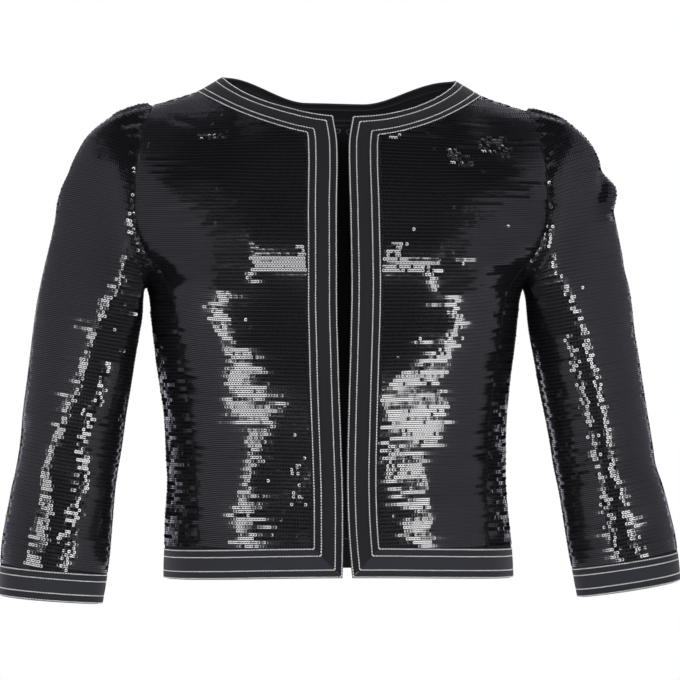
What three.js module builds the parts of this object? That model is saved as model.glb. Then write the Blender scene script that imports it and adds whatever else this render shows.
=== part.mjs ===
// A cropped, collarless jacket in sequinned cloth with plain bands, hollow, as it is when filled out.
//
// Millimetres. +Z is up and the front faces -Y, so the wearer's left is +X. The origin is the middle
// of the line between the two points where the neck edge crosses the shoulders.
//
// Every piece is a wall of cloth laid on one of two forms: the body form, which is a stack of rounded
// sections closed over along the shoulder line, or the sleeve form, which is a row of sections that
// turns from the armhole down to the cuff. Neighbouring pieces read the same seam lines from the same
// functions, and each stops half a seam gap short of them.

import * as THREE from 'three';

const CLOTH = 1.6; // wall of the sequinned cloth
const BAND_CLOTH = 2.4; // wall of the plain bands
const BAND = 28; // width of every band
const SEAM_GAP = 0.3;
const TRIM = SEAM_GAP / 2;

// Neck: half widths and drops below the shoulder line at the band's two edges.
const NECK = { halfWidth: 110, frontDrop: 38, backDrop: 20, frontPower: 1.5 };
const BACK_NECK = { levelTo: 0.25, upFrom: 0.93 }; // shares of its half width over which it turns up
const BAND_EDGE = { halfWidth: 135, frontDrop: 43.5, backDrop: 26 };

// Shoulder: its slope beside the neck, its slope beyond the band, and how far down it stays rounded.
// The bend between the slopes is softer below the shoulder line than on it.
const SHOULDER = { neckSlope: 0.64, slope: 0.28, bendAt: 135, bend: 8, softBend: 50, roundOver: 105 };
const SECTION_POWER = 2.6; // 2 is an ellipse, more is squarer
const BUST = { rise: 10, fromMiddle: 74, height: -186, width: 76, length: 110 };
const SWAY = { most: -4, from: -30, to: -475 }; // the hem and shoulders hang true, the waist sways
const LEAN = { most: -3, across: 110, from: -240, to: -60 }; // the left shoulder is held a little lower

// Armhole: top, bottom, and the height where the side panel's two seams meet it.
const ARMHOLE = { top: -28, bottom: -200, seams: -168 };
const HEM = { bottom: -470, sideDrop: 4.5 };

// The right sleeve hangs a little longer: lengths below a height, by the table of sections.
const SLEEVE_STRETCH = { from: -240, right: { out: 1.02, in: 0.997 }, left: { out: 0.97, in: 0.98 } };

// The body's sections, from the neck down: half width, and depth in front of and behind the shoulders.
const BODY = [
  { z: 60, half: 234, front: 30, back: 24 },
  { z: 0, half: 234, front: 56, back: 44 },
  { z: -20, half: 234, front: 66, back: 54 },
  { z: -45, half: 234, front: 80, back: 67 },
  { z: -78, half: 234, front: 97, back: 81 },
  { z: -110, half: 233, front: 108, back: 90 },
  { z: -146, half: 226, front: 115, back: 95.5 },
  { z: -168, half: 211, front: 117.5, back: 97 },
  { z: -185, half: 192, front: 118.3, back: 97 },
  { z: -200, half: 178.5, front: 118, back: 96.5 },
  { z: -230, half: 173, front: 115, back: 94.5 },
  { z: -260, half: 169.5, front: 111.5, back: 91 },
  { z: -290, half: 166, front: 109.2, back: 87 },
  { z: -320, half: 162.7, front: 108.8, back: 84 },
  { z: -350, half: 160.7, front: 109.6, back: 82.5 },
  { z: -383, half: 159.8, front: 111, back: 83.5 },
  { z: -430, half: 163.5, front: 113.5, back: 88 },
  { z: -480, half: 165.5, front: 116.5, back: 94 },
];

// Distance from the middle of the armhole seam, of the side panel's front and back seams.
const ARMHOLE_LINE = [
  { z: -28, x: 178 },
  { z: -54, x: 187 },
  { z: -78, x: 191.5 },
  { z: -107, x: 194 },
  { z: -130, x: 194.5 },
  { z: -146, x: 192 },
  { z: -168, x: 182 },
  { z: -185, x: 171 },
];
const SIDE_SEAMS = [
  { z: -150, front: 192, back: 192 },
  { z: -168, front: 182, back: 182 },
  { z: -185, front: 168, back: 170 },
  { z: -211, front: 156, back: 159 },
  { z: -253, front: 149.5, back: 152 },
  { z: -297, front: 143.5, back: 146 },
  { z: -337, front: 138.5, back: 142 },
  { z: -385, front: 136, back: 139.5 },
  { z: -441, front: 135, back: 140 },
  { z: -480, front: 135, back: 141 },
];

// Distance from the middle of the two front edges, which hang edge to edge and don't quite meet.
const FRONT_EDGES = [
  { z: -20, right: 13, left: 9 },
  { z: -38, right: 11, left: 7 },
  { z: -65, right: 7.5, left: 2.8 },
  { z: -130, right: 8, left: 4 },
  { z: -205, right: 7.2, left: 5.8 },
  { z: -265, right: 5, left: 5.2 },
  { z: -330, right: 3.2, left: 3 },
  { z: -385, right: 2.6, left: 1 },
  { z: -425, right: 3.4, left: 1.2 },
  { z: -455, right: 4.6, left: 2.6 },
  { z: -480, right: 6.4, left: 4.4 },
];

// The sleeve's sections from the armhole to the cuff's edge, drawn for the left sleeve: the point
// furthest out, the point nearest the body, how far the section reaches forward and back, and how far
// its front and back ridges lean from the middle, away from the body where it is over 0.
const SLEEVE = [
  { outX: 178, outZ: -28, inX: 178, inZ: -200, mid: 0, fore: -61, aft: 51, lean: 0 },
  { outX: 184, outZ: -27.4, inX: 181.2, inZ: -199.2, mid: 0, fore: -62, aft: 53, lean: -0.1 },
  { outX: 196, outZ: -30.2, inX: 182.5, inZ: -200.8, mid: -0.5, fore: -62.5, aft: 54, lean: -0.2 },
  { outX: 212, outZ: -36.5, inX: 183, inZ: -202.8, mid: -1.5, fore: -63, aft: 55, lean: -0.3 },
  { outX: 226, outZ: -45, inX: 183.4, inZ: -205.2, mid: -2.5, fore: -63, aft: 55, lean: -0.38 },
  { outX: 240, outZ: -59, inX: 183.7, inZ: -208.2, mid: -4, fore: -63, aft: 54.5, lean: -0.44 },
  { outX: 251, outZ: -80, inX: 184, inZ: -211.6, mid: -5.5, fore: -63, aft: 54, lean: -0.48 },
  { outX: 260, outZ: -105, inX: 184.3, inZ: -215.6, mid: -6, fore: -62.5, aft: 53, lean: -0.5 },
  { outX: 266, outZ: -134, inX: 184.6, inZ: -220, mid: -6.5, fore: -62.5, aft: 52, lean: -0.5 },
  { outX: 271.5, outZ: -162, inX: 185.1, inZ: -226, mid: -7, fore: -62, aft: 50, lean: -0.47 },
  { outX: 277, outZ: -189, inX: 186, inZ: -233, mid: -7.3, fore: -61.5, aft: 48.5, lean: -0.42 },
  { outX: 282, outZ: -216, inX: 187.6, inZ: -242.5, mid: -7.5, fore: -61, aft: 47, lean: -0.35 },
  { outX: 286.5, outZ: -246, inX: 191, inZ: -263, mid: -8, fore: -60.5, aft: 45, lean: -0.26 },
  { outX: 291.5, outZ: -285, inX: 197, inZ: -300, mid: -8.5, fore: -60, aft: 43, lean: -0.13 },
  { outX: 296.5, outZ: -325, inX: 204, inZ: -340, mid: -10, fore: -60, aft: 40, lean: 0 },
  { outX: 303, outZ: -366, inX: 210, inZ: -380, mid: -12.7, fore: -61.5, aft: 36, lean: 0.1 },
  { outX: 311, outZ: -402, inX: 214.5, inZ: -415, mid: -16.5, fore: -64, aft: 31, lean: 0.17 },
  { outX: 318, outZ: -436, inX: 219, inZ: -449.5, mid: -20.7, fore: -67, aft: 25.5, lean: 0.2 },
  { outX: 320.5, outZ: -456.3, inX: 222.3, inZ: -470.4, mid: -23.2, fore: -69, aft: 22.5, lean: 0.2 },
  { outX: 322.5, outZ: -484, inX: 227, inZ: -498, mid: -26.5, fore: -71, aft: 18, lean: 0.2 },
];
const CUFF_TOP = SLEEVE.length - 2; // the section where the cuff is sewn on
const HEAD_SECTIONS = 7; // sections over which the armhole's own shape dies away
const SLEEVE_ROUND = 0.92; // under 1 makes a section squarer than an ellipse
const FOLD_ROOM = 0.75; // walls of cloth that the sleeve stands back where its seam folds

// How finely the walls are cut.
const ROWS_BELOW = 9; // from the hem band up to the side panel's seams
const ROWS_ABOVE = 7; // from there up to the shoulder
const NECK_COLUMNS = 7; // from a front edge to the shoulder
const SHOULDER_COLUMNS = 3; // along the shoulder seam
const SIDE_COLUMNS = 4; // half the side panel
const BAND_STRIPS = 2; // across a band
const MITRE_TURNS = 4;

// Small steps, over which directions are measured.
const NORMAL_STEP = 0.05; // mm
const ANGLE_STEP = 0.01; // radians
const ALONG_STEP = 0.1; // sections of the sleeve

// The hook and the eye are bent from wire. Their lines run from behind the cloth, where they are sewn
// down, and each point is given over from the front edge towards the other one, up, and forward.
const FASTENER = { wire: 0.6, z: -52, rings: 18, segments: 6 };
const HOOK_LINE = [
  [-9, -1.3, 0], [-4.5, -1.3, 0], [0, -1.3, 0], [2.8, -1, 0.2], [4, 0, 0.5], [4.3, 1, 1.3],
  [2.4, 1.3, 1.9], [1, 1.3, 1.9],
];
const EYE_LINE = [
  [-9, 3.2, 0], [-4.5, 3.2, 0], [0, 2.6, 0], [2.6, 1.3, 0], [3.3, 0, 0], [2.6, -1.3, 0],
  [0, -2.6, 0], [-4.5, -3.2, 0], [-9, -3.2, 0],
];

const clamp = (value, low, high) => Math.min(high, Math.max(low, value));
const mix = (a, b, share) => a + (b - a) * share;
const smooth = (share) => share * share * (3 - 2 * share);
const steps = (count) => Array.from({ length: count + 1 }, (_, i) => i / count);

// A smooth curve through one column of a table, read at a value of another column.
function read(table, column, at, by = 'z') {
  const sign = Math.sign(table[1][by] - table[0][by]);
  let i = 0;
  while (i < table.length - 2 && sign * (at - table[i + 1][by]) > 0) i += 1;
  const slope = (j) => {
    const a = table[Math.max(0, j - 1)];
    const b = table[Math.min(table.length - 1, j + 1)];
    return (b[column] - a[column]) / (b[by] - a[by]);
  };
  const span = table[i + 1][by] - table[i][by];
  const t = clamp((at - table[i][by]) / span, 0, 1);
  const from = table[i][column];
  const to = table[i + 1][column];
  return from * (1 + 2 * t) * (1 - t) ** 2 + span * slope(i) * t * (1 - t) ** 2
    + to * t * t * (3 - 2 * t) + span * slope(i + 1) * t * t * (t - 1);
}

// ---- The body form ----

// Height of the shoulder line at a distance from the middle. It bends where the neck band ends.
function ridge(x, bend = SHOULDER.bend) {
  const eased = (past) => (past + Math.hypot(past, bend)) / 2;
  const turned = eased(x - SHOULDER.bendAt) - eased(NECK.halfWidth - SHOULDER.bendAt);
  return SHOULDER.neckSlope * (NECK.halfWidth - x) + (SHOULDER.neckSlope - SHOULDER.slope) * turned;
}

// How full the form is below the shoulder line: 0 on it, 1 from roundOver down.
function fullness(x, z) {
  const full = SHOULDER.roundOver + ridge(x) - ridge(x, SHOULDER.softBend);
  const s = clamp((ridge(x) - z) / full, 0, 1);
  return s * (2 - s);
}

// The fullness over the bust, which dies away before the side seams.
function bust(x, z) {
  const across = clamp((x - BUST.fromMiddle) / BUST.width, -1, 1);
  const along = clamp((z - BUST.height) / BUST.length, -1, 1);
  return BUST.rise * (1 - across * across) ** 2 * (1 - along * along) ** 2;
}

// Negative inside the form, positive outside, so its slope is the cloth's outward direction.
function bodyField(x, y, z) {
  const out = Math.abs(x);
  const front = y < 0;
  const depth = read(BODY, front ? 'front' : 'back', z);
  const forward = front ? Math.max(0, -y - bust(out, z)) : y;
  const width = (out / read(BODY, 'half', z)) ** SECTION_POWER;
  return (forward / depth) ** 2 - (1 - width) * fullness(out, z);
}

function bodyNormal(p) {
  const h = NORMAL_STEP;
  return new THREE.Vector3(
    bodyField(p.x + h, p.y, p.z) - bodyField(p.x - h, p.y, p.z),
    bodyField(p.x, p.y + h, p.z) - bodyField(p.x, p.y - h, p.z),
    bodyField(p.x, p.y, p.z + h) - bodyField(p.x, p.y, p.z - h),
  ).normalize();
}

// The point of the form at (x, z), on its front or its back.
function onBody(x, z, face) {
  const out = Math.abs(x);
  const width = 1 - Math.min(1, out / read(BODY, 'half', z)) ** SECTION_POWER;
  const reach = read(BODY, face, z) * Math.sqrt(width * fullness(out, z));
  const y = face === 'front' ? -reach - bust(out, z) : reach;
  return new THREE.Vector3(x, y, z);
}

// The point of the form at (y, z) on its side, below the armhole's seams.
function onSide(side, y, z) {
  const depth = read(BODY, y < 0 ? 'front' : 'back', z);
  const width = (1 - (y / depth) ** 2) ** (1 / SECTION_POWER);
  return new THREE.Vector3(side * read(BODY, 'half', z) * width, y, z);
}

const sideSign = (side) => (side === 'left' ? 1 : -1);
const frontEdge = (side, z) => read(FRONT_EDGES, side, z);
const hemBottom = (out) => HEM.bottom - HEM.sideDrop * (out / read(BODY, 'half', HEM.bottom)) ** 2;
const hemTop = (out) => hemBottom(out) + BAND;

// Height of the seam between neck band and panel, which goes over into the shoulder line.
function panelTop(out, face) {
  if (out > BAND_EDGE.halfWidth) return ridge(out);
  const drop = face === 'front' ? BAND_EDGE.frontDrop : BAND_EDGE.backDrop;
  return ridge(BAND_EDGE.halfWidth) - drop * (1 - (out / BAND_EDGE.halfWidth) ** 2);
}

// Distance from the middle of a panel's outer edge: the side seam, and the armhole above it.
function panelEdge(z, face) {
  return z > ARMHOLE.seams ? read(ARMHOLE_LINE, 'x', z) : read(SIDE_SEAMS, face, z);
}

// Depth of the side panel's front or back seam.
const seamDepth = (z, face) => onBody(read(SIDE_SEAMS, face, z), z, face).y;

// ---- Armhole ----

// Angles round the armhole from its top to its bottom, with one where the side panel's seam ends.
const armholeMiddle = (ARMHOLE.top + ARMHOLE.bottom) / 2;
const armholeHalf = (ARMHOLE.top - ARMHOLE.bottom) / 2;
const seamAngle = Math.acos((ARMHOLE.seams - armholeMiddle) / armholeHalf);
const angleHeight = (angle) => armholeMiddle + armholeHalf * Math.cos(angle);
const ARMHOLE_ANGLES = [
  ...steps(ROWS_ABOVE).map((share) => seamAngle * share),
  ...steps(SIDE_COLUMNS).slice(1).map((share) => mix(seamAngle, Math.PI, share)),
];
const ROW_SHARES = ARMHOLE_ANGLES.slice(0, ROWS_ABOVE + 1).reverse()
  .map((angle) => (angleHeight(angle) - ARMHOLE.seams) / (ARMHOLE.top - ARMHOLE.seams));

// How far round the armhole's bottom, from 0 in the middle to 1 at a seam, a height is, and back.
const bowlDepth = ARMHOLE.seams - ARMHOLE.bottom;
function bowlShare(z) {
  const rise = clamp((z - ARMHOLE.bottom) / bowlDepth, 0, 1);
  return Math.sqrt(1 - (1 - rise) ** 2);
}
const bowlHeight = (share) => ARMHOLE.bottom + bowlDepth * (1 - Math.sqrt(1 - share * share));
const SIDE_SHARES = ARMHOLE_ANGLES.slice(ROWS_ABOVE).map((angle) => bowlShare(angleHeight(angle)));

// A point of the armhole seam: angle 0 is the top, and it goes down the front or the back.
function armholePoint(side, angle, face) {
  const z = angleHeight(angle);
  if (z > ARMHOLE.seams) return onBody(sideSign(side) * read(ARMHOLE_LINE, 'x', z), z, face);
  return onSide(sideSign(side), bowlShare(z) * seamDepth(z, face), z);
}

// ---- Walls ----

// How the whole jacket hangs out of true.
function hung(p) {
  const down = clamp((SWAY.from - p.z) / (SWAY.from - SWAY.to), 0, 1);
  const across = smooth(clamp(0.5 + p.x / (2 * LEAN.across), 0, 1));
  const up = smooth(clamp((p.z - LEAN.from) / (LEAN.to - LEAN.from), 0, 1));
  const x = p.x + SWAY.most * Math.sin(Math.PI * down);
  return new THREE.Vector3(x, p.y, p.z + LEAN.most * across * up);
}

// Every free edge of a grid stands half a seam gap back from the line it was drawn on, along the cloth.
function trimmed(grid, ring) {
  const rows = grid.length - 1;
  const columns = grid[0].length;
  const at = (i, j) => grid[i][ring ? (j + columns) % columns : clamp(j, 0, columns - 1)].point;
  const step = (edge, before, after, inside, normal) => {
    const inward = after.clone().sub(before).cross(normal).normalize();
    const into = inside.clone().sub(edge).dot(inward);
    return inward.multiplyScalar(TRIM * Math.sign(into));
  };
  return grid.map((row, i) => row.map(({ point, normal, seated }, j) => {
    const moved = point.clone();
    if (!seated && (i === 0 || i === rows)) {
      moved.add(step(point, at(i, j - 1), at(i, j + 1), at(i === 0 ? 1 : rows - 1, j), normal));
    }
    if (!ring && (j === 0 || j === columns - 1)) {
      const [above, below] = [Math.max(0, i - 1), Math.min(rows, i + 1)];
      const inside = at(i, j === 0 ? 1 : columns - 2);
      moved.add(step(point, at(above, j), at(below, j), inside, normal));
    }
    return { point: moved, normal };
  }));
}

// A closed wall on a grid of places, each with a point and an outward direction. A ring's rows close
// on themselves, and every free edge of the grid gets a rim.
function wall(untrimmed, thickness, ring = false) {
  const grid = trimmed(untrimmed, ring);
  const rows = grid.length;
  const columns = grid[0].length;
  const layers = [thickness / 2, -thickness / 2].map((offset) => grid.flat()
    .map(({ point, normal }) => hung(point.clone().addScaledVector(normal, offset))));
  const index = (layer, i, j) => layer * rows * columns + i * columns + (j % columns);
  const faces = [];
  const quad = (a, b, c, d) => faces.push(a, b, c, a, c, d);
  const across = ring ? columns : columns - 1;
  for (let i = 0; i < rows - 1; i += 1) {
    for (let j = 0; j < across; j += 1) {
      quad(index(0, i, j), index(0, i, j + 1), index(0, i + 1, j + 1), index(0, i + 1, j));
      quad(index(1, i, j), index(1, i + 1, j), index(1, i + 1, j + 1), index(1, i, j + 1));
    }
    if (!ring) {
      const last = columns - 1;
      quad(index(0, i, 0), index(0, i + 1, 0), index(1, i + 1, 0), index(1, i, 0));
      quad(index(0, i, last), index(1, i, last), index(1, i + 1, last), index(0, i + 1, last));
    }
  }
  for (let j = 0; j < across; j += 1) {
    const last = rows - 1;
    quad(index(0, 0, j), index(1, 0, j), index(1, 0, j + 1), index(0, 0, j + 1));
    quad(index(0, last, j), index(0, last, j + 1), index(1, last, j + 1), index(1, last, j));
  }
  const geometry = new THREE.BufferGeometry();
  const positions = layers.flat().flatMap((p) => [p.x, p.y, p.z]);
  geometry.setAttribute('position', new THREE.Float32BufferAttribute(positions, 3));
  geometry.setIndex(volume(layers.flat(), faces) < 0 ? flipped(faces) : faces);
  geometry.computeVertexNormals();
  return geometry;
}

function volume(points, faces) {
  let total = 0;
  for (let k = 0; k < faces.length; k += 3) {
    const [a, b, c] = faces.slice(k, k + 3).map((i) => points[i]);
    total += a.dot(b.clone().cross(c)) / 6;
  }
  return total;
}

function flipped(faces) {
  return faces.map((_, k) => faces[k - (k % 3) + [0, 2, 1][k % 3]]);
}

const place = (point, normal = bodyNormal(point)) => ({ point, normal });

// ---- Body panels ----

// Drop of the neck's own edge below the shoulder, at a share of its half width from the middle.
function neckDrop(across, face) {
  const { frontDrop, backDrop, frontPower } = NECK;
  if (face === 'front') return frontDrop * Math.max(0, 1 - across * across) ** (frontPower / 2);
  const { levelTo, upFrom } = BACK_NECK;
  return backDrop * (1 - smooth(clamp((across - levelTo) / (upFrom - levelTo), 0, 1)));
}

// Height on the neck band at a share of its width, 0 at the neck's own edge and 1 at the panels.
function neckHeight(out, share, face) {
  const halfWidth = mix(NECK.halfWidth, BAND_EDGE.halfWidth, share);
  const across = out / halfWidth;
  const outer = face === 'front' ? BAND_EDGE.frontDrop : BAND_EDGE.backDrop;
  const outerDrop = outer * Math.max(0, 1 - across * across);
  return ridge(halfWidth) - mix(neckDrop(across, face), outerDrop, share);
}

// Where the neck band and a front band meet, at the band's two edges: found by going to and fro
// between the front edge's line and the neck's.
function mitreCorner(side, share) {
  let z = -NECK.frontDrop;
  for (let turn = 0; turn < MITRE_TURNS; turn += 1) {
    z = neckHeight(frontEdge(side, z) + share * BAND, share, 'front');
  }
  return { out: frontEdge(side, z) + share * BAND, z };
}

// The mitre runs from one corner to the other.
function mitre(side, share) {
  const out = mix(mitreCorner(side, 0).out, mitreCorner(side, 1).out, share);
  return { out, z: neckHeight(out, share, 'front') };
}

// Angle round the neck from its front's middle, for a distance from the middle.
const neckAngle = (out, share) => Math.asin(out / mix(NECK.halfWidth, BAND_EDGE.halfWidth, share));

// Shares of a front panel's width, closest where the neck band's seam turns up to the shoulder.
function frontShares(side) {
  const { out } = mitreCorner(side, 1);
  const shoulder = ARMHOLE_LINE[0].x;
  const start = neckAngle(out, 1);
  const onBand = steps(NECK_COLUMNS)
    .map((share) => BAND_EDGE.halfWidth * Math.sin(mix(start, Math.PI / 2, share)));
  const onShoulder = steps(SHOULDER_COLUMNS).slice(1)
    .map((share) => mix(BAND_EDGE.halfWidth, shoulder, share));
  return [...onBand, ...onShoulder].map((x) => (x - out) / (shoulder - out));
}

// Heights up a column that ends at top: even below the side panel's seams, closer above them.
function columnHeights(bottom, top) {
  const below = steps(ROWS_BELOW).map((share) => mix(bottom, ARMHOLE.seams, share));
  const above = ROW_SHARES.slice(1).map((share) => mix(ARMHOLE.seams, top, share));
  return [...below, ...above];
}

function frontPanel(side) {
  const corner = mitreCorner(side, 1);
  const shoulder = ARMHOLE_LINE[0].x;
  const outAt = (z, share) => mix(frontEdge(side, z) + BAND, panelEdge(z, 'front'), share);
  return wall(frontShares(side).map((share) => {
    const bottom = hemTop(outAt(HEM.bottom + BAND, share));
    const topOut = mix(corner.out, shoulder, share);
    return columnHeights(bottom, panelTop(topOut, 'front')).map((z, row, { length }) => {
      const out = row === length - 1 ? topOut : outAt(z, share);
      return place(onBody(sideSign(side) * out, z, 'front'));
    });
  }), CLOTH);
}

// Distances from the middle of the back's columns along its top, closest where the neck turns up.
function backTops() {
  const onBand = steps(2 * NECK_COLUMNS)
    .map((share) => BAND_EDGE.halfWidth * Math.sin(Math.PI * (share - 0.5)));
  const onShoulder = steps(SHOULDER_COLUMNS).slice(1)
    .map((share) => mix(BAND_EDGE.halfWidth, ARMHOLE_LINE[0].x, share));
  return [...onShoulder.map((x) => -x).reverse(), ...onBand, ...onShoulder];
}

function backPanel() {
  return wall(backTops().map((top) => {
    const share = top / ARMHOLE_LINE[0].x;
    const bottom = hemTop(Math.abs(share) * panelEdge(HEM.bottom + BAND, 'back'));
    return columnHeights(bottom, panelTop(Math.abs(top), 'back')).map((z, row, { length }) => (
      place(onBody(row === length - 1 ? top : share * panelEdge(z, 'back'), z, 'back'))));
  }), CLOTH);
}

// Shares of the side panel's depth, from -1 at its front seam to 1 at its back seam.
const SIDE_PANEL_SHARES = [
  ...SIDE_SHARES.map((share) => -share),
  ...[...SIDE_SHARES].reverse().slice(1),
];

function sidePoint(side, share, z) {
  const face = share < 0 ? 'front' : 'back';
  return onSide(sideSign(side), Math.abs(share) * seamDepth(z, face), z);
}

function sidePanel(side) {
  return wall(SIDE_PANEL_SHARES.map((share) => {
    const low = hemTop(Math.abs(sidePoint(side, share, HEM.bottom + BAND).x));
    const top = bowlHeight(Math.abs(share));
    return steps(ROWS_BELOW).map((row) => place(sidePoint(side, share, mix(low, top, row))));
  }), CLOTH);
}

// ---- Bands ----

function neckBand() {
  const columns = [];
  const column = (angleAt, face) => {
    columns.push(steps(BAND_STRIPS).map((share) => {
      const halfWidth = mix(NECK.halfWidth, BAND_EDGE.halfWidth, share);
      const out = halfWidth * Math.sin(angleAt(share));
      return place(onBody(out, neckHeight(Math.abs(out), share, face), face));
    }));
  };
  const frontAngle = (side, step) => (share) => (
    sideSign(side) * mix(neckAngle(mitre(side, share).out, share), Math.PI / 2, step));
  steps(NECK_COLUMNS).forEach((step) => column(frontAngle('right', step), 'front'));
  steps(2 * NECK_COLUMNS).slice(1, -1).forEach((step) => {
    column(() => Math.PI * (step - 0.5), 'back');
  });
  steps(NECK_COLUMNS).reverse().forEach((step) => column(frontAngle('left', step), 'front'));
  return wall(columns, BAND_CLOTH);
}

function frontBand(side) {
  return wall(steps(BAND_STRIPS).map((share) => {
    const bottom = hemBottom(frontEdge(side, HEM.bottom)) + share * BAND;
    return columnHeights(bottom, mitre(side, share).z).map((z) => {
      const out = frontEdge(side, z) + share * BAND;
      return place(onBody(sideSign(side) * out, z, 'front'));
    });
  }), BAND_CLOTH);
}

// The hem band's points at a share of its height, all round from one front edge to the other.
function hemRow(share) {
  const height = (out) => hemBottom(out) + share * BAND;
  const level = HEM.bottom + share * BAND;
  const front = (side) => frontShares(side).map((across) => {
    const start = frontEdge(side, level) + share * BAND;
    const out = mix(start, read(SIDE_SEAMS, 'front', level), across);
    return onBody(sideSign(side) * out, height(out), 'front');
  });
  const flank = (side) => SIDE_PANEL_SHARES.slice(1, -1).map((depth) => {
    const rough = sidePoint(side, depth, level);
    return sidePoint(side, depth, height(Math.abs(rough.x)));
  });
  const back = backTops().map((top) => {
    const out = (top / ARMHOLE_LINE[0].x) * read(SIDE_SEAMS, 'back', level);
    return onBody(out, height(Math.abs(out)), 'back');
  });
  return [...front('right'), ...flank('right'), ...back, ...flank('left').reverse(),
    ...front('left').reverse()].map((point) => place(point));
}

const hemBand = () => wall(steps(BAND_STRIPS).map(hemRow), BAND_CLOTH);

// ---- Sleeves ----

const SLEEVE_NUMBERED = SLEEVE.map((row, number) => ({ ...row, number }));

// The sleeve form at an angle round it (0 outermost, half a turn nearest the body, the front half
// first) and a place along it, counted in sections.
function sleevePoint(side, angle, along) {
  const at = (column) => read(SLEEVE_NUMBERED, column, along, 'number');
  const cosine = Math.cos(angle);
  const sine = Math.sin(angle);
  const outward = (1 + cosine) / 2;
  const reach = Math.abs(Math.sin(angle + at('lean') * sine)) ** SLEEVE_ROUND;
  const y = mix(at('mid'), sine > 0 ? at('fore') : at('aft'), reach);
  const x = mix(at('inX'), at('outX'), outward);
  let z = mix(at('inZ'), at('outZ'), outward);
  const stretch = mix(SLEEVE_STRETCH[side].in, SLEEVE_STRETCH[side].out, outward);
  if (z < SLEEVE_STRETCH.from) z = mix(SLEEVE_STRETCH.from, z, stretch);
  const p = new THREE.Vector3(sideSign(side) * x, y, z);
  const left = 1 - clamp(along / HEAD_SECTIONS, 0, 1);
  if (left > 0) p.addScaledVector(headShift(side, angle), smooth(left));
  return p;
}

// From the first section's plain oval to the armhole seam itself.
function headShift(side, angle) {
  const sine = Math.sin(angle);
  const seam = armholePoint(side, Math.acos(Math.cos(angle)), sine > 0 ? 'front' : 'back');
  const first = SLEEVE[0];
  const y = mix(first.mid, sine > 0 ? first.fore : first.aft, Math.abs(sine) ** SLEEVE_ROUND);
  return new THREE.Vector3(seam.x - sideSign(side) * first.outX, seam.y - y, 0);
}

function roundSleeve(side, angle, along) {
  const ahead = sleevePoint(side, angle + ANGLE_STEP, along);
  return ahead.sub(sleevePoint(side, angle - ANGLE_STEP, along));
}

function sleeveNormal(side, angle, along) {
  const before = sleevePoint(side, angle, Math.max(0, along - ALONG_STEP));
  const down = sleevePoint(side, angle, Math.min(SLEEVE.length - 1, along + ALONG_STEP)).sub(before);
  return roundSleeve(side, angle, along).cross(down).multiplyScalar(sideSign(side)).normalize();
}

const SLEEVE_ANGLES = [
  ...ARMHOLE_ANGLES,
  ...ARMHOLE_ANGLES.slice(1, -1).reverse().map((angle) => 2 * Math.PI - angle),
];

function sleeveRing(side, along) {
  return SLEEVE_ANGLES.map((angle) => (
    place(sleevePoint(side, angle, along), sleeveNormal(side, angle, along))));
}

// The first ring is the armhole seam, drawn back so that the sleeve's wall clears the panels' edges:
// by half the gap where the two run on into each other, and by most of the cloth more where they fold.
function armholeRing(side) {
  return SLEEVE_ANGLES.map((angle) => {
    const point = sleevePoint(side, angle, 0);
    const normal = sleeveNormal(side, angle, 0);
    const cloth = bodyNormal(point);
    const inward = roundSleeve(side, angle, 0).cross(cloth).multiplyScalar(-sideSign(side)).normalize();
    const fold = Math.sqrt(Math.max(0, 1 - cloth.dot(normal) ** 2));
    point.addScaledVector(inward, TRIM + FOLD_ROOM * CLOTH * fold);
    return { ...place(point, normal), seated: true };
  });
}

function sleeve(side) {
  const rings = [armholeRing(side)];
  for (let along = 1; along <= CUFF_TOP; along += 1) rings.push(sleeveRing(side, along));
  return wall(rings, CLOTH, true);
}

function cuff(side) {
  const rings = steps(BAND_STRIPS)
    .map((step) => sleeveRing(side, mix(CUFF_TOP, SLEEVE.length - 1, step)));
  return wall(rings, BAND_CLOTH, true);
}

// ---- Hook and eye, inside the top of the front bands ----

function wire(points) {
  const section = new THREE.Shape();
  section.absarc(0, 0, FASTENER.wire, 0, 2 * Math.PI, false);
  return new THREE.ExtrudeGeometry(section, {
    extrudePath: new THREE.CatmullRomCurve3(points, false, 'centripetal'),
    steps: FASTENER.rings,
    curveSegments: FASTENER.segments,
    bevelEnabled: false,
  });
}

function fastener(side, line) {
  const behind = BAND_CLOTH / 2 + FASTENER.wire + SEAM_GAP;
  return wire(line.map(([over, up, forward]) => {
    const out = frontEdge(side, FASTENER.z) - over;
    const seat = onBody(sideSign(side) * out, FASTENER.z + up, 'front');
    return hung(seat.addScaledVector(bodyNormal(seat), forward - behind));
  }));
}

// ---- The jacket ----

const SEQUINS = { color: 0x17181b, roughness: 0.35, metalness: 0.3 };
const MATTE = { color: 0x25272b, roughness: 0.85, metalness: 0 };
const METAL = { color: 0x3a3b3d, roughness: 0.4, metalness: 0.9 };

const jacket = new THREE.Group();
function add(name, geometry, finish) {
  const mesh = new THREE.Mesh(geometry, new THREE.MeshStandardMaterial(finish));
  mesh.name = name;
  jacket.add(mesh);
}

for (const side of ['left', 'right']) {
  add(`front_${side}`, frontPanel(side), SEQUINS);
  add(`side_panel_${side}`, sidePanel(side), SEQUINS);
  add(`sleeve_${side}`, sleeve(side), SEQUINS);
  add(`front_band_${side}`, frontBand(side), MATTE);
  add(`cuff_${side}`, cuff(side), MATTE);
}
add('back', backPanel(), SEQUINS);
add('neck_band', neckBand(), MATTE);
add('hem_band', hemBand(), MATTE);
add('hook', fastener('right', HOOK_LINE), METAL);
add('eye', fastener('left', EYE_LINE), METAL);

export default jacket;
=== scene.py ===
import math

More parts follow.
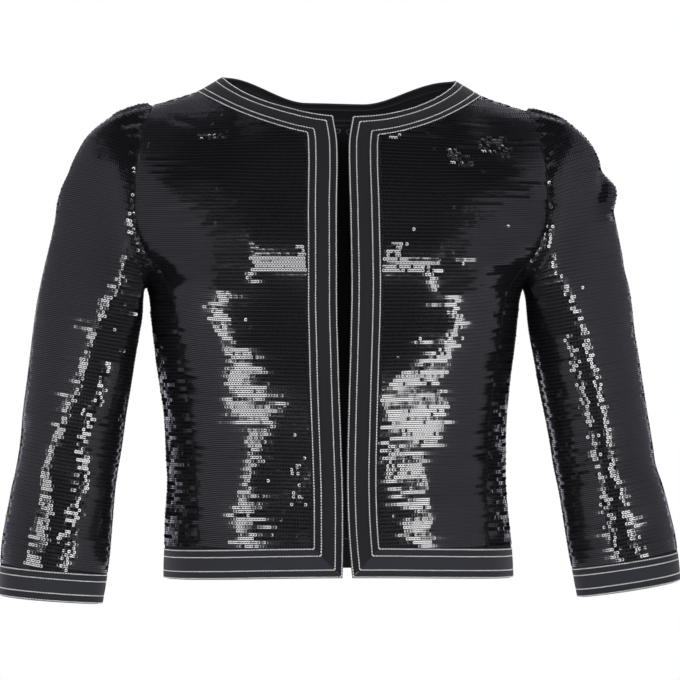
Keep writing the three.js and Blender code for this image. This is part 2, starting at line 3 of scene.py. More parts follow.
import bmesh
import bpy
import numpy as np
from bpy.props import FloatProperty, FloatVectorProperty, PointerProperty
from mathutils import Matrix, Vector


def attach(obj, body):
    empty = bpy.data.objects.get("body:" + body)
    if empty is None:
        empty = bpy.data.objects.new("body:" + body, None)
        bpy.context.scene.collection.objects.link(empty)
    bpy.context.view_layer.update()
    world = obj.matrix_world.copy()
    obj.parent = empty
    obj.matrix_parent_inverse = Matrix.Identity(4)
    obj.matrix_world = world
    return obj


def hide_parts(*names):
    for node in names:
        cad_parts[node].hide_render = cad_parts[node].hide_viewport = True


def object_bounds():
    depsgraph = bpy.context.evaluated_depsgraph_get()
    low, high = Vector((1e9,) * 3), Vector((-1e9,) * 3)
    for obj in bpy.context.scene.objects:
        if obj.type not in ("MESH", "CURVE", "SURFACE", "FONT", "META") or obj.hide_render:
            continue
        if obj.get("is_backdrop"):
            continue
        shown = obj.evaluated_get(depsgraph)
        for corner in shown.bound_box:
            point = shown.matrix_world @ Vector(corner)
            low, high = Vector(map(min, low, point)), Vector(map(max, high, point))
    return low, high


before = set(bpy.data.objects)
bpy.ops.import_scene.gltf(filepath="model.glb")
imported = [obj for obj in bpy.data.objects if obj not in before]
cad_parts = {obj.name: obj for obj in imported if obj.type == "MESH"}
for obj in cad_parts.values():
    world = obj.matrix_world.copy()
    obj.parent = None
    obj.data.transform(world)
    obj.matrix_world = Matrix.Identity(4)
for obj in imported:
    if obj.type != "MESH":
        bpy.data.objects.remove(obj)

bl_info = {
    "name": "Sequinned Cropped Jacket",
    "version": (1, 0, 0),
    "blender": (4, 5, 0),
    "location": "3D View > Sidebar > Jacket",
    "description": "Dresses the jacket's cloth, bands, stitches and sequins",
    "category": "Add Mesh",
}

# The jacket's form is worked out in millimetres, as its pattern is, and its meshes are in metres.
# +X is the wearer's left, and the front faces -Y. A side is 1 for the left and -1 for the right.

MM = 0.001
LEFT, RIGHT = 1, -1
SIDE_NAMES = {LEFT: "left", RIGHT: "right"}
SEED = 20240


class Table:
    """Rows of numbers with named columns, read as smooth curves of one of the columns."""

    def __init__(self, names, rows):
        self.columns = dict(zip(names.split(), np.array(rows, float).T))
        self.columns["number"] = np.arange(len(rows), dtype=float)

    def __call__(self, column, at, by="z"):
        x, y = self.columns[by], self.columns[column]
        if x[1] < x[0]:
            x, y = x[::-1], y[::-1]
        at = np.asarray(at, float)
        slope = np.empty_like(y)
        slope[1:-1] = (y[2:] - y[:-2]) / (x[2:] - x[:-2])
        slope[0], slope[-1] = (y[1] - y[0]) / (x[1] - x[0]), (y[-1] - y[-2]) / (x[-1] - x[-2])
        i = np.clip(np.searchsorted(x, at) - 1, 0, len(x) - 2)
        span = x[i + 1] - x[i]
        t = np.clip((at - x[i]) / span, 0, 1)
        return (y[i] * (1 + 2 * t) * (1 - t) ** 2 + span * slope[i] * t * (1 - t) ** 2
                + y[i + 1] * t * t * (3 - 2 * t) + span * slope[i + 1] * t * t * (t - 1))


# ---- The form, as the solids have it ----

BAND = 28.0
NECK = {"half_width": 110.0, "front_drop": 38.0, "back_drop": 20.0, "front_power": 1.5}
BACK_NECK_TURN = (0.25, 0.93)  # shares of its half width: level up to one, and risen by the other
BAND_EDGE = {"half_width": 135.0, "front": 43.5, "back": 26.0}
SHOULDER = {"neck_slope": 0.64, "slope": 0.28, "bend_at": 135.0, "bend": 8.0, "soft_bend": 50.0,
            "round_over": 105.0}
SECTION_POWER = 2.6
BUST = {"rise": 10.0, "from_middle": 74.0, "height": -186.0, "width": 76.0, "length": 110.0}
SWAY = {"most": -4.0, "from": -30.0, "to": -475.0}
LEAN = {"most": -3.0, "across": 110.0, "from": -240.0, "to": -60.0}
ARMHOLE = {"top": -28.0, "bottom": -200.0, "seams": -168.0}
HEM = {"bottom": -470.0, "side_drop": 4.5}
STRETCH_FROM = -240.0
SLEEVE_STRETCH = {RIGHT: (0.997, 1.02), LEFT: (0.98, 0.97)}  # along the inside and the outside

BODY = Table("z half front back", [
    (60, 234, 30, 24), (0, 234, 56, 44), (-20, 234, 66, 54), (-45, 234, 80, 67),
    (-78, 234, 97, 81), (-110, 233, 108, 90), (-146, 226, 115, 95.5), (-168, 211, 117.5, 97),
    (-185, 192, 118.3, 97), (-200, 178.5, 118, 96.5), (-230, 173, 115, 94.5),
    (-260, 169.5, 111.5, 91), (-290, 166, 109.2, 87), (-320, 162.7, 108.8, 84),
    (-350, 160.7, 109.6, 82.5), (-383, 159.8, 111, 83.5), (-430, 163.5, 113.5, 88),
    (-480, 165.5, 116.5, 94),
])
ARMHOLE_LINE = Table("z x", [
    (-28, 178), (-54, 187), (-78, 191.5), (-107, 194), (-130, 194.5), (-146, 192), (-168, 182),
    (-185, 171),
])
SIDE_SEAMS = Table("z front back", [
    (-150, 192, 192), (-168, 182, 182), (-185, 168, 170), (-211, 156, 159), (-253, 149.5, 152),
    (-297, 143.5, 146), (-337, 138.5, 142), (-385, 136, 139.5), (-441, 135, 140),
    (-480, 135, 141),
])
FRONT_EDGES = Table("z right left", [
    (-20, 13, 9), (-38, 11, 7), (-65, 7.5, 2.8), (-130, 8, 4), (-205, 7.2, 5.8), (-265, 5, 5.2),
    (-330, 3.2, 3), (-385, 2.6, 1), (-425, 3.4, 1.2), (-455, 4.6, 2.6), (-480, 6.4, 4.4),
])
SLEEVE = Table("out_x out_z in_x in_z mid fore aft lean", [
    (178, -28, 178, -200, 0, -61, 51, 0),
    (184, -27.4, 181.2, -199.2, 0, -62, 53, -0.1),
    (196, -30.2, 182.5, -200.8, -0.5, -62.5, 54, -0.2),
    (212, -36.5, 183, -202.8, -1.5, -63, 55, -0.3),
    (226, -45, 183.4, -205.2, -2.5, -63, 55, -0.38),
    (240, -59, 183.7, -208.2, -4, -63, 54.5, -0.44),
    (251, -80, 184, -211.6, -5.5, -63, 54, -0.48),
    (260, -105, 184.3, -215.6, -6, -62.5, 53, -0.5),
    (266, -134, 184.6, -220, -6.5, -62.5, 52, -0.5),
    (271.5, -162, 185.1, -226, -7, -62, 50, -0.47),
    (277, -189, 186, -233, -7.3, -61.5, 48.5, -0.42),
    (282, -216, 187.6, -242.5, -7.5, -61, 47, -0.35),
    (286.5, -246, 191, -263, -8, -60.5, 45, -0.26),
    (291.5, -285, 197, -300, -8.5, -60, 43, -0.13),
    (296.5, -325, 204, -340, -10, -60, 40, 0),
    (303, -366, 210, -380, -12.7, -61.5, 36, 0.1),
    (311, -402, 214.5, -415, -16.5, -64, 31, 0.17),
    (318, -436, 219, -449.5, -20.7, -67, 25.5, 0.2),
    (320.5, -456.3, 222.3, -470.4, -23.2, -69, 22.5, 0.2),
    (322.5, -484, 227, -498, -26.5, -71, 18, 0.2),
])
CUFF_TOP, CUFF_END = 18, 19  # the sleeve's sections at the cuff's two edges
HEAD_SECTIONS = 7
SLEEVE_ROUND = 0.92
NORMAL_STEP = 0.05
ANGLE_STEP = 0.01
ALONG_STEP = 0.1
MITRE_ROUNDS = 4


def mix(a, b, share):
    return a + (b - a) * share


def smooth(share):
    return share * share * (3 - 2 * share)


def clamp(value, low=0.0, high=1.0):
    return np.clip(value, low, high)


def ramp(value, low, high):
    """0 at low, 1 at high and smooth between; low may be the greater."""
    return smooth(clamp((value - low) / (high - low)))


def unit(vectors):
    return vectors / np.linalg.norm(vectors, axis=-1, keepdims=True)


def square_to(normals, vectors):
    """Vectors turned to stand square to the normals."""
    return unit(vectors - (vectors * normals).sum(-1, keepdims=True) * normals)


def points(x, y, z):
    return np.stack(np.broadcast_arrays(x, y, z), -1).astype(float)


def pick(condition, if_true, if_false):
    return np.where(np.asarray(condition)[..., None], if_true, if_false)


def ridge(x, bend=SHOULDER["bend"]):
    """Height of the shoulder line at a distance from the middle."""
    def eased(past):
        return (past + np.hypot(past, bend)) / 2
    turned = eased(x - SHOULDER["bend_at"]) - eased(NECK["half_width"] - SHOULDER["bend_at"])
    return (SHOULDER["neck_slope"] * (NECK["half_width"] - x)
            + (SHOULDER["neck_slope"] - SHOULDER["slope"]) * turned)


def fullness(x, z):
    full = SHOULDER["round_over"] + ridge(x) - ridge(x, SHOULDER["soft_bend"])
    s = clamp((ridge(x) - z) / full)
    return s * (2 - s)


def bust(x, z):
    across = clamp((x - BUST["from_middle"]) / BUST["width"], -1, 1)
    along = clamp((z - BUST["height"]) / BUST["length"], -1, 1)
    return BUST["rise"] * (1 - across ** 2) ** 2 * (1 - along ** 2) ** 2


def body_field(p):
    """Negative inside the body's form and positive outside it."""
    x, y, z = np.abs(p[..., 0]), p[..., 1], p[..., 2]
    front = y < 0
    depth = np.where(front, BODY("front", z), BODY("back", z))
    forward = np.where(front, np.maximum(0, -y - bust(x, z)), y)
    width = (x / BODY("half", z)) ** SECTION_POWER
    return (forward / depth) ** 2 - (1 - width) * fullness(x, z)


def body_normal(p):
    steps = NORMAL_STEP * np.eye(3)
    return unit(np.stack([body_field(p + s) - body_field(p - s) for s in steps], -1))


def facing_out(p):
    return p, body_normal(p)


def on_body(x, z, face):
    """The points of the form at (x, z) on its front or its back."""
    out = np.abs(x)
    width = 1 - np.minimum(1, out / BODY("half", z)) ** SECTION_POWER
    reach = BODY(face, z) * np.sqrt(width * fullness(out, z))
    return points(x, -reach - bust(out, z) if face == "front" else reach, z)


def on_side(side, y, z):
    depth = np.where(y < 0, BODY("front", z), BODY("back", z))
    width = np.maximum(0, 1 - (y / depth) ** 2) ** (1 / SECTION_POWER)
    return points(side * BODY("half", z) * width, y, z)


def front_edge(side, z):
    return FRONT_EDGES(SIDE_NAMES[side], z)


def hem_bottom(out):
    return HEM["bottom"] - HEM["side_drop"] * (out / BODY("half", HEM["bottom"])) ** 2


def hem_top(out):
    return hem_bottom(out) + BAND


def panel_top(out, face):
    """Height of the seam between the neck band and a panel, and of the shoulder line beyond it."""
    half = BAND_EDGE["half_width"]
    drop = BAND_EDGE[face] * (1 - np.minimum(1, out / half) ** 2)
    return np.where(out > half, ridge(out), ridge(half) - drop)


def panel_edge(z, face):
    return np.where(z > ARMHOLE["seams"], ARMHOLE_LINE("x", z), SIDE_SEAMS(face, z))


def seam_depth(z, face):
    return on_body(SIDE_SEAMS(face, z), z, face)[..., 1]


ARMHOLE_MIDDLE = (ARMHOLE["top"] + ARMHOLE["bottom"]) / 2
ARMHOLE_HALF = (ARMHOLE["top"] - ARMHOLE["bottom"]) / 2
BOWL_DEPTH = ARMHOLE["seams"] - ARMHOLE["bottom"]


def bowl_share(z):
    rise = clamp((z - ARMHOLE["bottom"]) / BOWL_DEPTH)
    return np.sqrt(1 - (1 - rise) ** 2)


def bowl_height(share):
    return ARMHOLE["bottom"] + BOWL_DEPTH * (1 - np.sqrt(np.maximum(0, 1 - share * share)))


def armhole_point(side, angle, face):
    z = ARMHOLE_MIDDLE + ARMHOLE_HALF * np.cos(angle)
    upper = on_body(side * ARMHOLE_LINE("x", z), z, face)
    lower = on_side(side, bowl_share(z) * seam_depth(z, face), z)
    return pick(z > ARMHOLE["seams"], upper, lower)


def sleeve_point(side, angle, along):
    """The sleeve's form at an angle round it, 0 outermost and the front first, and a place along it."""
    def at(column):
        return SLEEVE(column, along, "number")
    sine, outward = np.sin(angle), (1 + np.cos(angle)) / 2
    reach = np.abs(np.sin(angle + at("lean") * sine)) ** SLEEVE_ROUND
    y = mix(at("mid"), np.where(sine > 0, at("fore"), at("aft")), reach)
    x = mix(at("in_x"), at("out_x"), outward)
    z = mix(at("in_z"), at("out_z"), outward)
    longer = mix(*SLEEVE_STRETCH[side], outward)
    z = np.where(z < STRETCH_FROM, mix(STRETCH_FROM, z, longer), z)
    left = ramp(along, HEAD_SECTIONS, 0)
    return points(side * x, y, z) + head_shift(side, angle) * np.asarray(left)[..., None]


def head_shift(side, angle):
    """From the first section's plain oval to the armhole seam itself."""
    sine, first = np.sin(angle), {k: v[0] for k, v in SLEEVE.columns.items()}
    down = np.arccos(np.cos(angle))
    seam = pick(sine > 0, armhole_point(side, down, "front"), armhole_point(side, down, "back"))
    y = mix(first["mid"], np.where(sine > 0, first["fore"], first["aft"]),
            np.abs(sine) ** SLEEVE_ROUND)
    return points(seam[..., 0] - side * first["out_x"], seam[..., 1] - y, 0)


def sleeve_normal(side, angle, along):
    along = np.maximum(along, ALONG_STEP)
    round_it = (sleeve_point(side, angle + ANGLE_STEP, along)
                - sleeve_point(side, angle - ANGLE_STEP, along))
    down = (sleeve_point(side, angle, np.minimum(CUFF_END, along + ALONG_STEP))
            - sleeve_point(side, angle, np.maximum(0, along - ALONG_STEP)))
    return unit(np.cross(round_it, down) * side)


def hung(p):
    """How the whole jacket hangs a little out of true."""
    down = clamp((SWAY["from"] - p[..., 2]) / (SWAY["from"] - SWAY["to"]))
    across = ramp(p[..., 0], -LEAN["across"], LEAN["across"])
    up = ramp(p[..., 2], LEAN["from"], LEAN["to"])
    return p + points(SWAY["most"] * np.sin(math.pi * down), 0, LEAN["most"] * across * up)


def neck_drop(across, face):
    if face == "front":
        return NECK["front_drop"] * np.maximum(0, 1 - across ** 2) ** (NECK["front_power"] / 2)
    return NECK["back_drop"] * (1 - ramp(across, *BACK_NECK_TURN))


def neck_height(out, share, face):
    """Height on the neck band, at a share of its width from the neck's edge to the panels."""
    half = mix(NECK["half_width"], BAND_EDGE["half_width"], share)
    across = out / half
    outer = BAND_EDGE[face] * np.maximum(0, 1 - across ** 2)
    return ridge(half) - mix(neck_drop(across, face), outer, share)


def mitre_corner(side, share):
    """Where a share of the band's width out from the front edge meets the same share of the neck's."""
    z = -NECK["front_drop"]
    for _ in range(MITRE_ROUNDS):
        z = float(neck_height(front_edge(side, z) + share * BAND, share, "front"))
    return float(front_edge(side, z)) + share * BAND, z


def mitre(side, share):
    """Where the neck band meets a front band: distance from the middle, and height."""
    out = mix(mitre_corner(side, 0)[0], mitre_corner(side, 1)[0], share)
    return out, float(neck_height(out, share, "front"))


def mitres(side, shares):
    found = np.array([mitre(side, share) for share in np.ravel(shares)])
    return found.T.reshape(2, *np.shape(shares))


# ---- Creases ----

# A crease runs through places on the front, the back or a sleeve: (x, z) on the body, and
# (degrees round, section) on a sleeve. A height under 0 is a trough.
CREASES = [
    # face, height, width, places
    ("front", -0.55, 4.0, (-174, -133), (-132, -121)), ("front", 0.34, 4.0, (-168, -139), (-138, -131)),
    ("front", -0.42, 3.6, (-160, -147), (-118, -137)), ("front", -0.34, 3.4, (-152, -156), (-112, -152)),
    ("front", -0.34, 3.6, (-176, -112), (-146, -103)), ("front", -0.25, 3.4, (-178, -96), (-150, -88)),
    ("front", -0.25, 4.0, (-150, -172), (-118, -178)), ("front", 0.29, 5.0, (-166, -166), (-150, -190)),
    ("front", -0.5, 4.0, (178, -138), (128, -120)), ("front", 0.34, 3.8, (170, -147), (124, -132)),
    ("front", -0.42, 3.6, (162, -156), (120, -146)), ("front", -0.34, 3.4, (154, -166), (122, -160)),
    ("front", -0.34, 3.6, (180, -118), (152, -108)), ("front", -0.25, 3.4, (182, -100), (156, -92)),
    ("front", -0.29, 4.0, (158, -180), (132, -190)),
    ("front", -0.21, 6.0, (-150, -236), (-118, -262)), ("front", -0.25, 7.0, (-142, -300), (-112, -322)),
    ("front", -0.21, 6.0, (146, -250), (116, -280)), ("front", -0.25, 7.0, (140, -312), (110, -330)),
    ("front", -0.21, 6.0, (-134, -352), (-96, -362)), ("front", -0.21, 6.0, (134, -360), (98, -352)),
    ("front", -0.29, 4.0, (-166, -40), (-130, -50)), ("front", -0.29, 4.0, (168, -42), (134, -54)),
    # Flats across the bust, and soft lengthwise folds and flats down the fronts.
    ("front", -0.25, 10, (-112, -181), (-92, -179), (-30, -178)),
    ("front", -0.25, 10, (28, -178), (80, -179), (106, -184)),
    ("front", 1.1, 11, (-113, -192), (-110, -236), (-100, -268)),
    ("front", -2.0, 24, (-96, -262), (-88, -302), (-86, -336)),
    ("front", 0.8, 10, (-84, -336), (-89, -366), (-94, -410)),
    ("front", 1.1, 11, (98, -205), (99, -246), (88, -264)),
    ("front", -2.4, 27, (74, -276), (69, -312), (70, -350)),
    ("front", 0.8, 10, (74, -352), (76, -392), (72, -440)),
    ("back", -0.6, 4.2, (-176, -136), (-130, -118)), ("back", 0.4, 4.0, (-168, -148), (-120, -136)),
    ("back", -0.45, 3.8, (-158, -158), (-112, -152)), ("back", -0.6, 4.2, (178, -134), (134, -120)),
    ("back", 0.4, 4.0, (168, -146), (122, -130)), ("back", -0.45, 3.8, (160, -158), (108, -150)),
    ("back", -0.45, 7.0, (-150, -240), (-90, -262)), ("back", -0.4, 7.0, (148, -252), (96, -268)),
    ("back", -0.55, 8.0, (-136, -312), (-52, -330)), ("back", -0.5, 8.0, (138, -326), (40, -338)),
    ("back", -0.4, 7.0, (-120, -352), (-30, -346)), ("back", -0.35, 7.0, (124, -292), (62, -304)),
    ("back", -0.35, 4.0, (-164, -44), (-128, -56)), ("back", -0.35, 4.0, (166, -44), (128, -54)),
    ("back", -0.25, 8.0, (-34, -96), (-12, -142)), ("back", -0.25, 8.0, (40, -90), (22, -150)),
    ("back", 1.0, 12, (-72, -200), (-66, -300), (-74, -420)),
    ("back", 1.0, 12, (66, -190), (72, -290), (64, -410)),
    # Gathers at the sleeve heads.
    ("left", -1.04, 3.4, (-62, 0.2), (-50, 2.6)), ("left", 1.2, 4.2, (-40, 0.2), (-32, 3.0)),
    ("left", -1.04, 3.6, (-20, 0.2), (-16, 3.2)), ("left", 1.6, 4.6, (-3, 0.2), (-2, 3.8)),
    ("left", -1.12, 3.4, (13, 0.2), (10, 3.2)), ("left", 1.28, 4.0, (28, 0.2), (24, 3.4)),
    ("left", -1.04, 3.4, (44, 0.2), (36, 2.8)), ("left", 0.96, 4.0, (60, 0.2), (52, 2.6)),
    ("left", -0.8, 3.6, (74, 0.2), (66, 2.2)), ("left", 0.8, 4.0, (-78, 0.2), (-68, 2.2)),
    ("right", -0.96, 3.6, (-66, 0.2), (-54, 2.6)), ("right", 1.12, 4.2, (-46, 0.2), (-36, 3.0)),
    ("right", -0.96, 3.6, (-26, 0.2), (-21, 3.2)), ("right", 2.08, 4.6, (-6, 0.2), (-4, 3.6)),
    ("right", -1.12, 3.4, (9, 0.2), (8, 3.0)), ("right", 1.2, 4.2, (22, 0.2), (20, 3.6)),
    ("right", -1.04, 3.4, (38, 0.2), (33, 3.0)), ("right", 0.96, 4.0, (55, 0.2), (48, 2.6)),
    ("right", -0.8, 3.6, (70, 0.2), (62, 2.2)), ("right", 0.72, 4.0, (-80, 0.2), (-72, 2.2)),
    # The fold that stands out below the left shoulder, and a slighter one on the right.
    ("left", -1.8, 5.5, (-40, 6.0), (-10, 6.15), (20, 6.15), (44, 6.5)),
    ("left", 6.5, 8.5, (-56, 7.2), (0, 6.95), (56, 7.3)),
    ("left", -1.0, 9.0, (-26, 9.6), (34, 9.8)),
    ("right", -1.0, 8.0, (-50, 6.3), (20, 6.6)), ("right", 1.0, 10, (-56, 7.4), (10, 7.6)),
    # Lengthwise folds down the fronts of the sleeves, elbows, and the drag below them.
    ("right", 1.9, 12, (112, 6.8), (109, 9.6), (102, 12.2), (90, 13.8)),
    ("right", 1.0, 11, (60, 14.6), (63, 16.4), (66, 17.9)),
    ("left", 1.9, 12, (110, 9.0), (98, 13.0), (97, 14.6), (94, 16.2), (92, 17.8)),
    ("left", -0.66, 7.0, (60, 13.2), (150, 13.9)), ("left", -0.77, 7.0, (84, 14.5), (160, 15.1)),
    ("left", 0.66, 8.0, (70, 15.6), (150, 15.8)), ("left", -0.55, 6.0, (20, 16.2), (92, 16.6)),
    ("left", 0.77, 5.0, (96, 16.7), (118, 16.5)), ("left", -0.77, 9.0, (-10, 15.0), (40, 15.4)),
    ("left", -0.55, 5.0, (62, 17.2), (104, 17.3)), ("left", -0.88, 8.0, (-120, 14.0), (-50, 14.4)),
    ("left", -0.77, 8.0, (-140, 15.2), (-60, 15.0)), ("left", 0.66, 9.0, (-110, 12.8), (-40, 13.1)),
    ("left", 1.2, 12, (-96, 5.0), (-92, 12.0), (-100, 17.6)),
    ("right", -0.55, 7.0, (64, 13.4), (152, 14.1)), ("right", -0.66, 7.0, (80, 14.8), (156, 15.3)),
    ("right", 0.55, 8.0, (72, 15.8), (148, 16.0)), ("right", -0.88, 10, (-8, 14.4), (44, 14.2)),
    ("right", 0.66, 9.0, (-4, 15.4), (40, 15.7)), ("right", -0.88, 8.0, (-120, 14.2), (-52, 14.6)),
    ("right", -0.77, 8.0, (-136, 15.4), (-58, 15.2)), ("right", 0.66, 9.0, (-112, 13.0), (-44, 13.4)),
    ("right", -0.5, 5.0, (60, 16.9), (110, 17.1)),
    ("right", 1.2, 12, (-94, 5.0), (-98, 12.0), (-92, 17.6)),
]
CREASE_POINTS = 9
CREASE_REACH = 2.2  # widths from its line at which a crease has died away
CREASE_FADE = 0.24  # share of its length over which it rises from each end
LEAST_HELD = 1e-3
UNEVEN_PHASE = 1.7  # radians from one wave of the unevenness to the next

# Slow unevenness of the cloth all over: directions in turns a metre, heights in mm.
UNEVEN = [
    ((3.1, 1.4, 9.0), 0.35), ((-7.4, 2.2, 5.1), 0.26), ((11.8, -3.0, -6.6), 0.16),
    ((-4.6, 5.8, 15.2), 0.15), ((17.5, 6.1, 12.4), 0.075), ((-15.8, 4.4, 21.0), 0.065),
    ((24.0, -8.2, -9.5), 0.05),
]


def crease_lines():
    lines = []
    for face, height, width, *places in CREASES:
        share = np.linspace(0, len(places) - 1, CREASE_POINTS)
        a, b = (np.interp(share, range(len(places)), values) for values in zip(*places))
        if face in BODY.columns:
            line = on_body(a, b, face)
        else:
            line = sleeve_point(LEFT if face == "left" else RIGHT, np.radians(a), b)
        lines.append((line, height, width))
    return lines


CREASE_LINES = crease_lines()


def creased(p, normals, strength):
    """Moves points of the form along its normals by the creases, and tilts the normals with them."""
    flat, out = p.reshape(-1, 3), normals.reshape(-1, 3)
    rise, slope = np.zeros(len(flat)), np.zeros_like(flat)
    for line, height, width in CREASE_LINES:
        reach = CREASE_REACH * width
        near = ((flat > line.min(0) - reach) & (flat < line.max(0) + reach)).all(1).nonzero()[0]
        if not len(near):
            continue
        start, step = line[:-1], np.diff(line, axis=0)
        q = flat[near, None] - start
        t = clamp((q * step).sum(-1) / (step * step).sum(-1))
        off = q - t[..., None] * step
        distance = np.linalg.norm(off, axis=-1)
        nearest = distance.argmin(1)
        row = np.arange(len(near))
        along = (nearest + t[row, nearest]) / len(step)
        off, distance = off[row, nearest], distance[row, nearest] / width
        held = clamp(1 - (distance / CREASE_REACH) ** 2)
        ends = ramp(along, 0, CREASE_FADE) * ramp(along, 1, 1 - CREASE_FADE)
        bump = height * held ** 3 * ends
        rise[near] += bump
        steep = -6 * bump / np.maximum(held, LEAST_HELD) / reach ** 2
        slope[near] += steep[:, None] * off
    for number, (turns, height) in enumerate(UNEVEN):
        wave = 2 * math.pi * MM * np.array(turns)
        phase = flat @ wave + UNEVEN_PHASE * number
        rise += height * np.sin(phase)
        slope += height * np.cos(phase)[:, None] * wave
    rise, slope = strength * rise, strength * slope
    slope -= (slope * out).sum(-1, keepdims=True) * out
    return ((flat + rise[:, None] * out).reshape(p.shape), unit(out - slope).reshape(p.shape))


# ---- Sheets of cloth ----

SEAM_TRIM = 0.15  # half of the gap at a seam
WELD = 0.02
SPLIT = 0.64  # share of a panel's height below the armhole
CLOSER_UP = 1.6  # how much closer its rows stand towards the shoulder


def outward_at(side, z, share):
    return mix(front_edge(side, z) + BAND, panel_edge(z, "front"), share)


def above_split(v):
    return clamp((v - SPLIT) / (1 - SPLIT))


def panel_height(v, bottom, top):
    below = mix(bottom, ARMHOLE["seams"], v / SPLIT)
    above = mix(ARMHOLE["seams"], top, 1 - (1 - above_split(v)) ** CLOSER_UP)
    return np.where(v < SPLIT, below, above)


def front_sheet(side, u, v):
    """A front panel's points, from the front band (u = 0) to the side and the hem (v = 0) up."""
    corner = mitre_corner(side, 1)[0]
    top_out = mix(corner, ARMHOLE_LINE("x", ARMHOLE["top"]), u)
    top = panel_top(top_out, "front")
    bottom = hem_top(outward_at(side, HEM["bottom"] + BAND, u))
    z = panel_height(v, bottom, top)
    turned = above_split(v) ** 2
    out = outward_at(side, z, u) + turned * (top_out - outward_at(side, top, u))
    return facing_out(on_body(side * out, z, "front"))


def back_sheet(u, v):
    """The back's points, from the right (u = 0) to the left and from the hem (v = 0) up."""
    share = 2 * u - 1
    top_out = share * ARMHOLE_LINE("x", ARMHOLE["top"])
    top = panel_top(np.abs(top_out), "back")
    bottom = hem_top(np.abs(share) * panel_edge(HEM["bottom"] + BAND, "back"))
    z = panel_height(v, bottom, top)
    turned = above_split(v) ** 2
    out = share * panel_edge(z, "back") + turned * (top_out - share * panel_edge(top, "back"))
    return facing_out(on_body(out, z, "back"))


def side_point(side, share, z):
    depth = np.where(share < 0, -seam_depth(z, "front"), seam_depth(z, "back"))
    return on_side(side, share * depth, z)


def side_bottom(side, share):
    return hem_top(np.abs(side_point(side, share, HEM["bottom"] + BAND)[..., 0]))


def side_sheet(side, u, v):
    """A side panel's points, from the front seam (u = 0) to the back's and the hem (v = 0) up."""
    share = np.sin(math.pi / 2 * (2 * u - 1))
    z = mix(side_bottom(side, share), bowl_height(np.abs(share)), v)
    return facing_out(side_point(side, share, z))


def round_sleeve(side, angle, along):
    return sleeve_point(side, angle, along), sleeve_normal(side, angle, along)


def sleeve_sheet(side, u, v):
    """A sleeve's points: u goes all round it from the inside, v from the cuff's seam to the armhole."""
    return round_sleeve(side, math.pi + 2 * math.pi * u, CUFF_TOP * (1 - v))


def cuff_sheet(side, u, v):
    """A cuff's points: u goes all round it, v from its end to its seam."""
    return round_sleeve(side, math.pi + 2 * math.pi * u, mix(CUFF_END, CUFF_TOP, v))


def neck_sheet(u, v):
    """The neck band's points: u from the right front round the back, v across from the neck's edge."""
    half = mix(NECK["half_width"], BAND_EDGE["half_width"], v)
    ends = {side: np.arcsin(mitres(side, v)[0] / half) for side in (LEFT, RIGHT)}
    front, back = 0.29, 0.42  # shares of the band's points on each front and on the back
    right_angle = -mix(ends[RIGHT], math.pi / 2, clamp(u / front))
    back_angle = math.pi * (clamp((u - front) / back) - 0.5)
    left_angle = mix(math.pi / 2, ends[LEFT], clamp((u - front - back) / front))
    on_back = (u > front) & (u < front + back)
    angle = np.where(u <= front, right_angle, np.where(on_back, back_angle, left_angle))
    out = half * np.sin(angle)
    p = pick(on_back, on_body(out, neck_height(np.abs(out), v, "back"), "back"),
             on_body(out, neck_height(np.abs(out), v, "front"), "front"))
    return facing_out(p)


def front_band_sheet(side, u, v):
    """A front band's points: u up it from the hem, v across it from the front edge."""
    bottom = hem_bottom(front_edge(side, HEM["bottom"])) + v * BAND
    z = mix(bottom, mitres(side, v)[1], u)
    return facing_out(on_body(side * (front_edge(side, z) + v * BAND), z, "front"))


def hem_sheet(u, v):
    """The hem band's points: u all round from the right front edge, v up from the lower edge."""
    level = HEM["bottom"] + v * BAND
    front, flank = 0.15, 0.2  # shares of the band's points on each front and each side

    def height(out):
        return hem_bottom(np.abs(out)) + v * BAND

    def on_front(side, share):
        start = front_edge(side, level) + v * BAND
        out = mix(start, SIDE_SEAMS("front", level), clamp(share))
        return on_body(side * out, height(out), "front")

    def on_flank(side, share):
        depth = np.sin(math.pi / 2 * (2 * clamp(share) - 1))
        rough = side_point(side, depth, level)
        return side_point(side, depth, height(rough[..., 0]))

    turn = 1 - 2 * front - 2 * flank
    out = mix(-1, 1, clamp((u - front - flank) / turn)) * SIDE_SEAMS("back", level)
    p = on_body(out, height(out), "back")
    p = pick(u < front + flank, on_flank(RIGHT, (u - front) / flank), p)
    p = pick(u < front, on_front(RIGHT, u / front), p)
    p = pick(u > 1 - front - flank, on_flank(LEFT, (1 - front - u) / flank), p)
    p = pick(u > 1 - front, on_front(LEFT, (1 - u) / front), p)
    return facing_out(p)


def trimmed(grid, ring):
    """Draws a grid's free edges back by half a seam's gap."""
    p = grid.copy()
    p[:, 0] += SEAM_TRIM * unit(grid[:, 1] - grid[:, 0])
    p[:, -1] += SEAM_TRIM * unit(grid[:, -2] - grid[:, -1])
    if not ring:
        p[0] += SEAM_TRIM * unit(grid[1] - grid[0])
        p[-1] += SEAM_TRIM * unit(grid[-2] - grid[-1])
    return p


